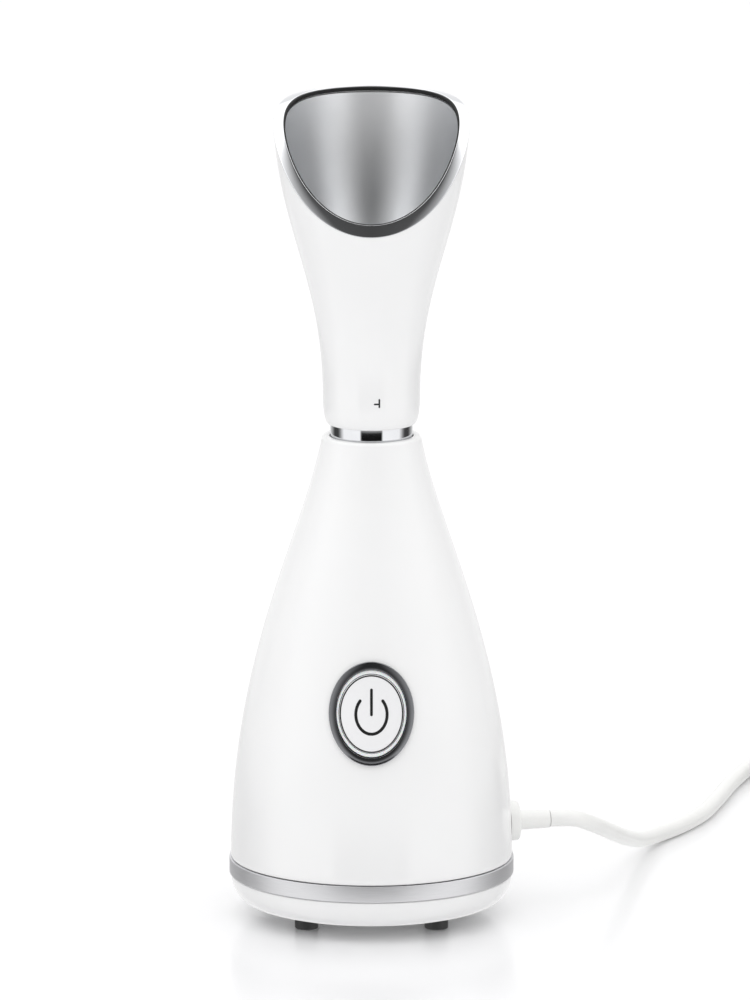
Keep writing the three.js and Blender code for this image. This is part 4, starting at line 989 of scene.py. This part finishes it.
BLACK_CHROME = surface("Chrome_plate_black", (6, 2, "#808184", "#8A8B8E"), (3, 3, 0.1, 0.16), Metallic=1.0)
BEZEL_PROUD = 1.4
BEZEL_DEPTH = 3.7
bezel_section = rounded([
    (0, -BEZEL_DEPTH), (0, BEZEL_PROUD - 0.15, 0.08), (0.45, BEZEL_PROUD, 0.3),
    (1, BEZEL_PROUD - 0.2, 0.08), (1, GAP), (BEZEL_COLLAR_SHARE, GAP),
    (BEZEL_COLLAR_SHARE, -BEZEL_DEPTH)], steps=6)
stand_in("button_bezel", front_ring(BEZEL_INNER, BEZEL_OUTER, bezel_section),
         BLACK_CHROME, "base")

# %% [markdown]
# The light ring is silicone, milky enough to spread the light of the lamps behind it, so
# it has a little scattering under its skin. The cap is white ABS with a finer grain.

# %% Light ring
SILICONE = surface("Silicone_milky", (3, 2, "#F4F4F4", "#FBFBFB"), (1, 2, 0.34, 0.44),
                   IOR=1.43, Subsurface_Weight=0.15, Subsurface_Scale=0.002)
BUTTON_PROUD = 0.8
LIGHT_RING_DEPTH = 4.7
ring_section = rounded([
    (0, -LIGHT_RING_DEPTH), (0, BUTTON_PROUD - GAP, 0.15), (1, BUTTON_PROUD - GAP, 0.15),
    (1, -LIGHT_RING_DEPTH)])
stand_in("button_light_ring", front_ring(BUTTON_HALF + GAP, LIGHT_RING_HALF, ring_section),
         SILICONE, "base")

# %% Cap
CAP_ABS = gloss_abs("ABS_satin_white", "#EDEDEE", "#F3F3F4")
CAP_DEPTH = 3.2
CAP_STEM, STEM_LENGTH = 2.5, 9.0
cap_section = rounded([
    (0, BUTTON_PROUD), (1, BUTTON_PROUD, 0.06), (1, -CAP_DEPTH), (0, -CAP_DEPTH)], steps=8)
shares = np.concatenate([np.linspace(0.02, 0.9, 20)[:, None] * [1, 0] + [0, BUTTON_PROUD],
                         cap_section[1:-1], [(0.02, -CAP_DEPTH)]])
cap_grid = on_front(BUTTON_HALF * shares[:, :1], shares[:, 1])
stem_skin = placed(rod(CAP_STEM, 0, STEM_LENGTH), lambda points: (
    points[:, [0, 2, 1]] * [1, -1, 1] + [0, box_mm("button_cap")[1][1], BUTTON_Z]))
stand_in("button_cap", joined(skin(cap_grid, poles=(True, True)), stem_skin), CAP_ABS, "button")

# %% [markdown]
# ## Printed marks and a painted shade line
# The cap carries the usual power sign, and the nozzle a small turning mark. Both are
# pad-printed: a film of black ink a few hundredths of a millimetre thick. Each stroke is
# a ribbon: a line of points, widened to both sides, laid on the surface beneath. A fine
# black line round the cap's edge is painted shade, for the shadow in the gap between cap and light ring.

# %% Ribbons of ink
# Black for the printed marks, and for the painted shade line round the cap's edge.
INK_AND_PAINTED_SHADE = surface("Ink_printed_and_painted_shade_black", (0.5, 3, "#0C0C0D", "#141415"), (0.7, 2, 0.35, 0.5), IOR=1.5)
PRINT_AND_SHADE_FILM = 0.05


def ribbon(line, width, place):
    """A flat line of (x, z) points as a thin strip with round ends: the ends are points
    on a half circle, so the half width is sqrt(w^2 - d^2) within w of an end. `place`
    lays (x, z, lift) on the surface."""
    along = np.concatenate([[0], np.cumsum(np.linalg.norm(np.diff(line, axis=0), axis=1))])
    half = width / 2
    ends = half * (1 - np.cos(np.linspace(0, np.pi / 2, 7)))[:-1]
    stations = np.concatenate([ends, np.linspace(half, along[-1] - half, 40), along[-1] - ends[::-1]])
    centre = np.stack([np.interp(stations, along, line[:, k]) for k in (0, 1)], -1)
    ahead = np.gradient(centre, stations, axis=0)
    side = np.stack([-ahead[:, 1], ahead[:, 0]], -1) / np.linalg.norm(ahead, axis=1, keepdims=True)
    from_end = np.minimum(stations, along[-1] - stations)
    spread = np.sqrt(np.maximum(half ** 2 - np.maximum(half - from_end, 0) ** 2, 1e-4))[:, None]
    rows = [place(centre + sign * spread * side, lift)
            for sign, lift in ((-1, -PRINT_AND_SHADE_FILM), (-1, PRINT_AND_SHADE_FILM), (0, PRINT_AND_SHADE_FILM), (1, PRINT_AND_SHADE_FILM), (1, -PRINT_AND_SHADE_FILM))]
    return skin(np.stack(rows, 1), poles=(True, True))


def on_cap(flat, lift):
    x, z = flat[:, 0], BUTTON_Z + flat[:, 1]
    y = -np.sqrt((shell_radius(z) + BUTTON_PROUD + lift) ** 2 - x ** 2)
    return np.stack([x, y, z], -1)


SIGN_HALF = (5.75, 7.05)
SIGN_CENTRE = -0.15
SIGN_OPENING = 3.8
SIGN_STROKE, BAR_STROKE = 1.1, 1.0
BAR_TOP, BAR_BOTTOM = 9.2, -0.7
GAP_SHADE_OUTSIDE, GAP_SHADE_INSIDE = 0.12, 0.6  # distances in from the cap's edge
opening = math.acos(SIGN_OPENING / SIGN_HALF[0])
turns = np.linspace(opening, -np.pi - opening, 120)
broken_oval = np.stack([SIGN_HALF[0] * np.cos(turns), SIGN_CENTRE + SIGN_HALF[1] * np.sin(turns)], -1)
bar = np.linspace((0, BAR_TOP), (0, BAR_BOTTOM), 30)
# Painted shade: a fine black line round the cap's edge stands in for the shadow in the gap between cap and
# light ring.
gap_shade_line = front_ring(BUTTON_HALF - GAP_SHADE_INSIDE, BUTTON_HALF - GAP_SHADE_OUTSIDE, np.array([
    (0, BUTTON_PROUD - PRINT_AND_SHADE_FILM), (0, BUTTON_PROUD + PRINT_AND_SHADE_FILM), (1, BUTTON_PROUD + PRINT_AND_SHADE_FILM),
    (1, BUTTON_PROUD - PRINT_AND_SHADE_FILM)]))
power_sign = joined(ribbon(broken_oval, SIGN_STROKE, on_cap), ribbon(bar, BAR_STROKE, on_cap), gap_shade_line)
add_piece("power_sign", mesh_from("power_sign", *power_sign), INK_AND_PAINTED_SHADE, "button")


def on_nozzle(flat, lift):
    """Arc length round the front of the nozzle and height, wrapped on its wall."""
    z = flat[:, 1]
    radius = lower_nozzle(z) + lift
    angle = flat[:, 0] / lower_nozzle(z) - np.pi / 2
    return np.stack([radius * np.cos(angle), radius * np.sin(angle), z], -1)


def lower_nozzle(z):
    """The nozzle's radius with its rounded bottom edge."""
    return np.interp(z, np.concatenate([outer_edge[:, 1], NOZZLE_CURVE[:, 1]]),
                     np.concatenate([outer_edge[:, 0], NOZZLE_CURVE[:, 0]]))


MARK_Z = WAIST_TOP + 0.3
MARK_NEAR, MARK_FAR = 0.9, 2.9
MARK_RISE, MARK_DROP = 2.0, 1.4
MARK_STROKE = 0.6
pointer = np.linspace((MARK_NEAR, MARK_Z), (MARK_FAR, MARK_Z), 20)
stem_line = np.linspace((MARK_FAR, MARK_Z + MARK_RISE), (MARK_FAR, MARK_Z - MARK_DROP), 20)
turn_mark = joined(*(ribbon(line, MARK_STROKE, on_nozzle) for line in (pointer, stem_line)))
add_piece("turn_mark", mesh_from("turn_mark", *turn_mark), INK_AND_PAINTED_SHADE, "nozzle")

# %% [markdown]
# ## Strain relief on the base
# Where the lead leaves the base, a moulded PVC disc snaps into the wall, with a thin
# sleeve that stops the lead from kinking. The disc's back follows the shell: a point at
# `across` and `up` from its axis touches the wall where the distance from the base's
# axis equals the shell's radius at that height.

# %% Strain relief
GLAND_PLATE = 7.5
gland_turns = np.linspace(0, 2 * np.pi, 64, endpoint=False)
GLAND_BARB = 6.3  # the catch behind the wall
gland_section = rounded([
    (0.2, -8), (GLAND_BARB, -8, 0.3), (GLAND_BARB, -5.5, 0.3), (GLAND_BODY, -5.5), (GLAND_BODY, -2.7)])
gland_front = rounded([
    (GLAND_PLATE, 2.0), (GLAND_PLATE, GLAND_PROUD, 0.9), (LEAD_RADIUS + 0.55, GLAND_PROUD, 0.5),
    (LEAD_RADIUS + 0.25, GLAND_PROUD + GLAND_SLEEVE, 0.15), (0.2, GLAND_PROUD + GLAND_SLEEVE)], steps=6)


def off_shell(radius):
    """One row of the disc's back, standing GAP off the shell."""
    across, up = radius * np.cos(gland_turns), radius * np.sin(gland_turns)
    reach = np.sqrt((shell_radius(GLAND_Z + up) + GAP) ** 2 - across ** 2) - shell_radius(GLAND_Z)
    return np.stack([across, up, reach], -1)


def round_gland(section):
    r, along = section[:, :1], section[:, 1:]
    return np.stack([r * np.cos(gland_turns), r * np.sin(gland_turns), along + 0 * gland_turns], -1)


gland_grid = np.concatenate([
    round_gland(gland_section), np.stack([off_shell(r) for r in (GLAND_BODY, 6.0, GLAND_PLATE)]),
    round_gland(gland_front)])
gland_skin = placed(skin(gland_grid, poles=(True, True)), along_gland)
gland = stand_in("cord_gland", gland_skin, PVC, "base")

# %% [markdown]
# ## The plug
# A moulded three-pin plug lies on its back, pins up. Its body is two layers of one
# rounded outline, a wider one below a seam and a slightly smaller one above. The outline
# is three curves mirrored about the middle. Each layer is that outline repeated at
# heights along a rounded edge, pulled in by the edge's own profile.

# %% Plug body
NYLON = surface("Nylon_black_moulded", (4, 2, "#131313", "#1D1D1D"), (1.2, 4, 0.3, 0.46),
                (0.35, 3, 0.015), IOR=1.53)
PLUG_HALF, PLUG_FOOT, PLUG_HEIGHT, PLUG_SEAM = 24.37, 25.0, 22.0, 13.0


def plug_outline(inset):
    """One side of the plug from its lead end to its far end, mirrored to both sides."""
    half, top, foot = PLUG_HALF - inset, PLUG_TOP - inset, inset - PLUG_FOOT
    end, widest = 0.37 * PLUG_HALF, 0.29 * PLUG_TOP
    upper = bezier([(end, top), (1.8 * end, top - 2), (half, 0.75 * PLUG_TOP), (half, widest)], 40)
    lower = bezier([(half, widest), (half, -widest), (2.2 * end - inset, foot), (end, foot)], 40)
    side = np.concatenate([np.linspace((0, top), (end, top), 8)[:-1], upper[:-1], lower[:-1],
                           np.linspace((end, foot), (0, foot), 8)])
    return np.concatenate([side, side[-2:0:-1] * [-1, 1]])


def plug_rows(edge):
    """An (inset, height) outline to a stack of plug outlines."""
    flats = [plug_outline(inset) for inset, _ in edge]
    return np.stack([np.column_stack([flat, np.full(len(flat), z)]) for flat, (_, z) in zip(flats, edge)])


plug_edge = np.concatenate([
    [(12, 0.0)], rounded([(0.6, 0), (0, 0, 1.1), (0, PLUG_SEAM, 0.5), (0.9, PLUG_SEAM, 0.15),
                          (1.0, PLUG_HEIGHT, 1.8), (4, PLUG_HEIGHT)], steps=6)[1:], [(12, PLUG_HEIGHT)]])
plug_skin = placed(skin(plug_rows(plug_edge), poles=(True, True)), in_plug)
plug_body = stand_in("plug_body", plug_skin, NYLON, "base")

# %% [markdown]
# The lead enters the plug through a ribbed sleeve, moulded in one go with the body. It is
# a turned outline that is laid down along the lead, so its height becomes its length.

# %% Plug strain relief
relief_outline = rounded([
    (0, 0.3), (7.2, 0.3, 0.3), (7.2, 5.3, 0.8), (5.6, 6.3, 0.4), (5.6, 7.8, 0.4), (6.6, 8.8, 0.6),
    (6.2, 15.3, 0.6), (4.9, 16.3, 0.4), (4.9, 17.8, 0.4), (5.2, 18.8, 0.4),
    (LEAD_RADIUS + 0.8, PLUG_RELIEF + 0.3, 0.3), (0, PLUG_RELIEF + 0.3)], steps=4)
relief_skin = placed(turned(relief_outline, 48), lambda points: (
    in_plug(points[:, [0, 2, 1]] * [-1, 1, 1] + [0, PLUG_TOP, UPPER_LAYER])))
plug_relief = add_piece("plug_relief_visual", mesh_from("plug_relief_visual", *relief_skin),
                        NYLON, "base", ["plug_strain_relief"])

# %% [markdown]
# The pins are brass under bright nickel, flat, with narrowed tips. Live and neutral have
# insulating sleeves at their roots, so the bare metal is dead before a finger reaches it.

# %% Pins and sleeves
NICKEL = surface("Brass_nickel_plated", (3, 2, "#C9C3B6", "#D8D3C8"), (1, 4, 0.16, 0.28), Metallic=1.0)
PIN_SIZES = {  # place across and along, width, depth, length and the sleeve's length
    "earth": (0, -16, 4, 8, 22.7, 0), "live": (11.1, 6.2, 6.35, 4, 17.7, 9.2),
    "neutral": (-11.1, 6.2, 6.35, 4, 17.7, 9.2)}


def bar_skin(x, y, width, depth, edge, corner=0.4):
    """A bar with round corners whose sides follow an (inset, height) outline."""
    rows = []
    for inset, z in edge:
        w, d = width / 2 - inset, depth / 2 - inset
        flat = rounded([(w, -d, corner), (w, d, corner), (-w, d, corner), (-w, -d, corner)], steps=4)
        rows.append(np.column_stack([flat + [x, y], np.full(len(flat), z)]))
    return skin(np.stack(rows), poles=(True, True))


for name, (x, y, width, depth, length, sleeve) in PIN_SIZES.items():
    root = PLUG_HEIGHT + GAP
    tip = PLUG_HEIGHT + length
    bottom = root + sleeve + GAP if sleeve else root
    edge = rounded([(0.3, bottom), (0, bottom, 0.2), (0, tip - 1.4, 0.5), (0.8, tip, 0.3), (1.1, tip)])
    pin_skin = placed(bar_skin(x, y, width, depth, edge), in_plug)
    stand_in(f"plug_pin_{name}", pin_skin, NICKEL, "base")
    if sleeve:
        edge = [(0.3, root), (0.02, root + 0.3), (0.02, root + sleeve - 0.3), (0.3, root + sleeve)]
        sleeve_skin = placed(bar_skin(x, y, width, depth, edge), in_plug)
        stand_in(f"plug_sleeve_{name}", sleeve_skin, NYLON, "base")

# %% [markdown]
# ## Inside the neck and the nozzle
# The chrome collar hides a plain ABS spigot. An O-ring seals its lower end in the tank,
# and a spring-steel clip near its top holds the nozzle's socket, which turns on it. A
# narrow tube leads the steam up to an outlet plate with seven holes in the bowl's
# floor. The plastics here are unpolished, so they are duller than the shells.

# %% Plain ABS, steel and aluminium
NATURAL_ABS = surface("ABS_natural", (12, 2, "#E2E2DD", "#ECECE7"), (2, 4, 0.38, 0.52), IOR=1.54)
STEEL = surface("Steel_zinc_plated", (2.4, 2, "#9C9EA0", "#B2B3B4"), (0.6, 4, 0.26, 0.4), Metallic=1.0)
ALUMINIUM = surface("Aluminium_mill_finish", (8, 2, "#ABADAF", "#C2C3C4"), (2, 4, 0.34, 0.48), Metallic=1.0)

# %% Spigot, seal and clip
BORE, SPIGOT, GROOVE, FLANGE = 8.0, 10.4, 9.2, 12.6  # radii
SEAL_SLOT = 0.95  # half the height of the O-ring's groove
SEAL_WIDE, SEAL_TALL = 0.65, 0.56  # the O-ring is pressed slightly flat
(spigot_low, spigot_high), (seal_low, seal_high) = box_mm("neck_spigot"), box_mm("spigot_o_ring")
(clip_low, clip_high), flange_top = box_mm("swivel_clip"), collar_low[2] + 4
flange_low = collar_low[2] + GAP
seal_z = (seal_low[2] + seal_high[2]) / 2
spigot_outline = rounded([
    (BORE, spigot_low[2], 0.2), (SPIGOT, spigot_low[2], 0.7), (SPIGOT, seal_z - SEAL_SLOT),
    (GROOVE, seal_z - SEAL_SLOT), (GROOVE, seal_z + SEAL_SLOT), (SPIGOT, seal_z + SEAL_SLOT),
    (SPIGOT, flange_low), (FLANGE, flange_low, 0.3), (FLANGE, flange_top, 0.3), (SPIGOT, flange_top),
    (SPIGOT, clip_low[2] - GAP), (GROOVE, clip_low[2] - GAP), (GROOVE, clip_high[2] + GAP),
    (SPIGOT, clip_high[2] + GAP), (SPIGOT, spigot_high[2], 0.4), (BORE, spigot_high[2], 0.2)])
stand_in("neck_spigot", turned(spigot_outline, 96), NATURAL_ABS, "neck")
section_turn = np.linspace(0, 2 * np.pi, 20, endpoint=False)
seal_outline = np.column_stack([
    10.15 + SEAL_WIDE * np.cos(section_turn), seal_z + SEAL_TALL * np.sin(section_turn)])
stand_in("spigot_o_ring", turned(seal_outline, 96), SILICONE, "neck")
clip_outline = rounded([(9.5, clip_low[2], 0.2), (12.4, clip_low[2], 0.3), (12.4, clip_high[2], 0.3),
                        (9.5, clip_high[2], 0.2)])
stand_in("swivel_clip", turned(clip_outline, 96), STEEL, "neck")

# %% [markdown]
# The outlet plate spreads the steam over seven holes, one in the middle and six round
# it. They are drilled on the real plate, so here they are cut with straight rods.

# %% Steam outlet
OUTLET_RADIUS = 10.3
JET_RADIUS, JET_CIRCLE = 1.5, 4.6
outlet_outline = rounded([
    (0, BOWL_FLOOR + GAP), (OUTLET_RADIUS, BOWL_FLOOR + 1.2, 0.2),
    (OUTLET_RADIUS - 1, BOWL_FLOOR + 2.3, 0.5), (0, BOWL_FLOOR + 2.9)])
jet = rod(JET_RADIUS, BOWL_FLOOR - 3, BOWL_FLOOR + 6)
holes = joined(jet, *(moved(jet, place) for place in places_round(JET_CIRCLE, 6)))
outlet_mesh = cut(mesh_from("steam_outlet_visual", *turned(outlet_outline, 96)), holes)
stand_in("steam_outlet", outlet_mesh, CHROME, "nozzle")

# %% [markdown]
# The steam tube rises from the neck to the outlet, and the socket is the nozzle's bearing
# on the spigot. Both are short turned sleeves with softened ends, so an outline does.

# %% Steam tube and socket
tube_low, tube_high = box_mm("steam_tube")
TUBE_RADIUS, TUBE_BORE = 7.6, 6.1
tube_outline = rounded([
    (TUBE_BORE, tube_low[2], 0.2), (TUBE_RADIUS, tube_low[2], 0.4),
    (TUBE_RADIUS, tube_high[2], 0.1), (TUBE_BORE, tube_high[2], 0.1)])
stand_in("steam_tube", turned(tube_outline, 96), NATURAL_ABS, "nozzle")
socket_low, socket_high = box_mm("nozzle_socket")
flange = WAIST_TOP + 1
socket_outline = rounded([
    (SPIGOT + GAP, socket_low[2], 0.2), (FLANGE, socket_low[2], 0.4), (FLANGE, flange),
    (socket_high[0], flange, 0.3), (socket_high[0], flange + 2, 0.3), (FLANGE, flange + 2),
    (FLANGE, socket_high[2], 0.3), (SPIGOT + GAP, socket_high[2], 0.2)])
stand_in("nozzle_socket", turned(socket_outline, 96), NATURAL_ABS, "nozzle")

# %% [markdown]
# ## Water tank
# With the neck pulled out, the mouth of the tank is seen through the lip. It is spun
# from aluminium sheet: a round floor, a straight wall, a cone and a short neck with a
# flange. Every bend has a radius, because sheet cannot fold sharply.

# %% Tank
tank_low, tank_high = box_mm("water_tank")
TANK_RADIUS, TANK_NECK, TANK_WALL = tank_high[0], 12.8, 1.6
shoulder, tank_neck = tank_high[2] - 33, tank_high[2] - 6
tank_flange = tank_high[2] - 1.8
tank_outline = rounded([
    (0, tank_low[2]), (TANK_RADIUS, tank_low[2], 2.6), (TANK_RADIUS, shoulder, 2),
    (TANK_NECK, tank_neck, 1), (TANK_NECK, tank_flange, 0.3), (NECK_RADIUS, tank_flange, 0.4),
    (NECK_RADIUS, tank_high[2], 0.4), (TANK_NECK - TANK_WALL, tank_high[2], 0.6),
    (TANK_NECK - TANK_WALL, tank_neck + GAP, 1), (TANK_RADIUS - TANK_WALL, shoulder - 0.6, 2),
    (TANK_RADIUS - TANK_WALL, tank_low[2] + TANK_WALL, 2), (0, tank_low[2] + TANK_WALL)], steps=6)
stand_in("water_tank", turned(tank_outline, 128), ALUMINIUM, "base")

# %% [markdown]
# ## Fixings and works
# Four screws with cross recesses show in the wells of the cover. The works behind the
# shell are simple blocks in the frame, so they keep its meshes and get real finishes:
# green board, zinc-plated steel, mill-finish aluminium, nylon and vinyl.

# %% Cover screws
SCREW_SHANK = 1.4
CROSS_LONG, CROSS_THICK = 3.4, 0.8


def cross_cutter(z):
    """Two crossed slots under a screw's head."""
    edge = [(0, z - 1), (0, z + 0.9)]
    return [bar_skin(0, 0, *size, edge, corner=0.1) for size in (
        (CROSS_LONG, CROSS_THICK), (CROSS_THICK, CROSS_LONG))]


for number, place in enumerate(screw_places, start=1):
    low, high = box_mm(f"cover_screw_{number}")
    outline = rounded([
        (0, low[2]), (SCREW_HEAD, low[2], 0.4), (SCREW_HEAD, low[2] + 2, 0.2),
        (SCREW_SHANK, low[2] + 2), (SCREW_SHANK, high[2], 0.5), (0, high[2])])
    screw_mesh = mesh_from(f"cover_screw_{number}_visual", *moved(turned(outline, 48), place))
    for slot in cross_cutter(low[2]):
        screw_mesh = cut(screw_mesh, moved(slot, place))
    stand_in(f"cover_screw_{number}", screw_mesh, STEEL, "base")

# %% Finishes for the works
BOARD = surface("Board_FR4_green", (1.5, 4, "#214A2D", "#2E6240"), (2, 2, 0.3, 0.45), IOR=1.55)


def silicone_wire(name, dark, light):
    return surface(name, (2, 2, dark, light), (1, 2, 0.45, 0.6), IOR=1.43)


WORKS = {
    "circuit_board": BOARD, "board_screw_1": STEEL, "board_screw_2": STEEL, "push_switch": NYLON,
    "switch_plunger": NYLON, "heater_plate": ALUMINIUM, "heater_clamp": STEEL, "thermostat": NYLON,
    "thermal_fuse": STEEL, "terminal_block": NATURAL_ABS, "cord_clamp": NATURAL_ABS,
    "supply_lead_inside": PVC,
    "heater_wire_live": silicone_wire("Silicone_wire_black", "#161616", "#222222"),
    "heater_wire_neutral": silicone_wire("Silicone_wire_white", "#E6E6E4", "#F0F0EE"),
}
for node, material in WORKS.items():
    mesh = bpy.data.objects[node].data
    mesh.materials.clear()
    mesh.materials.append(material)
print(len(WORKS), "pieces of the works have their finishes")
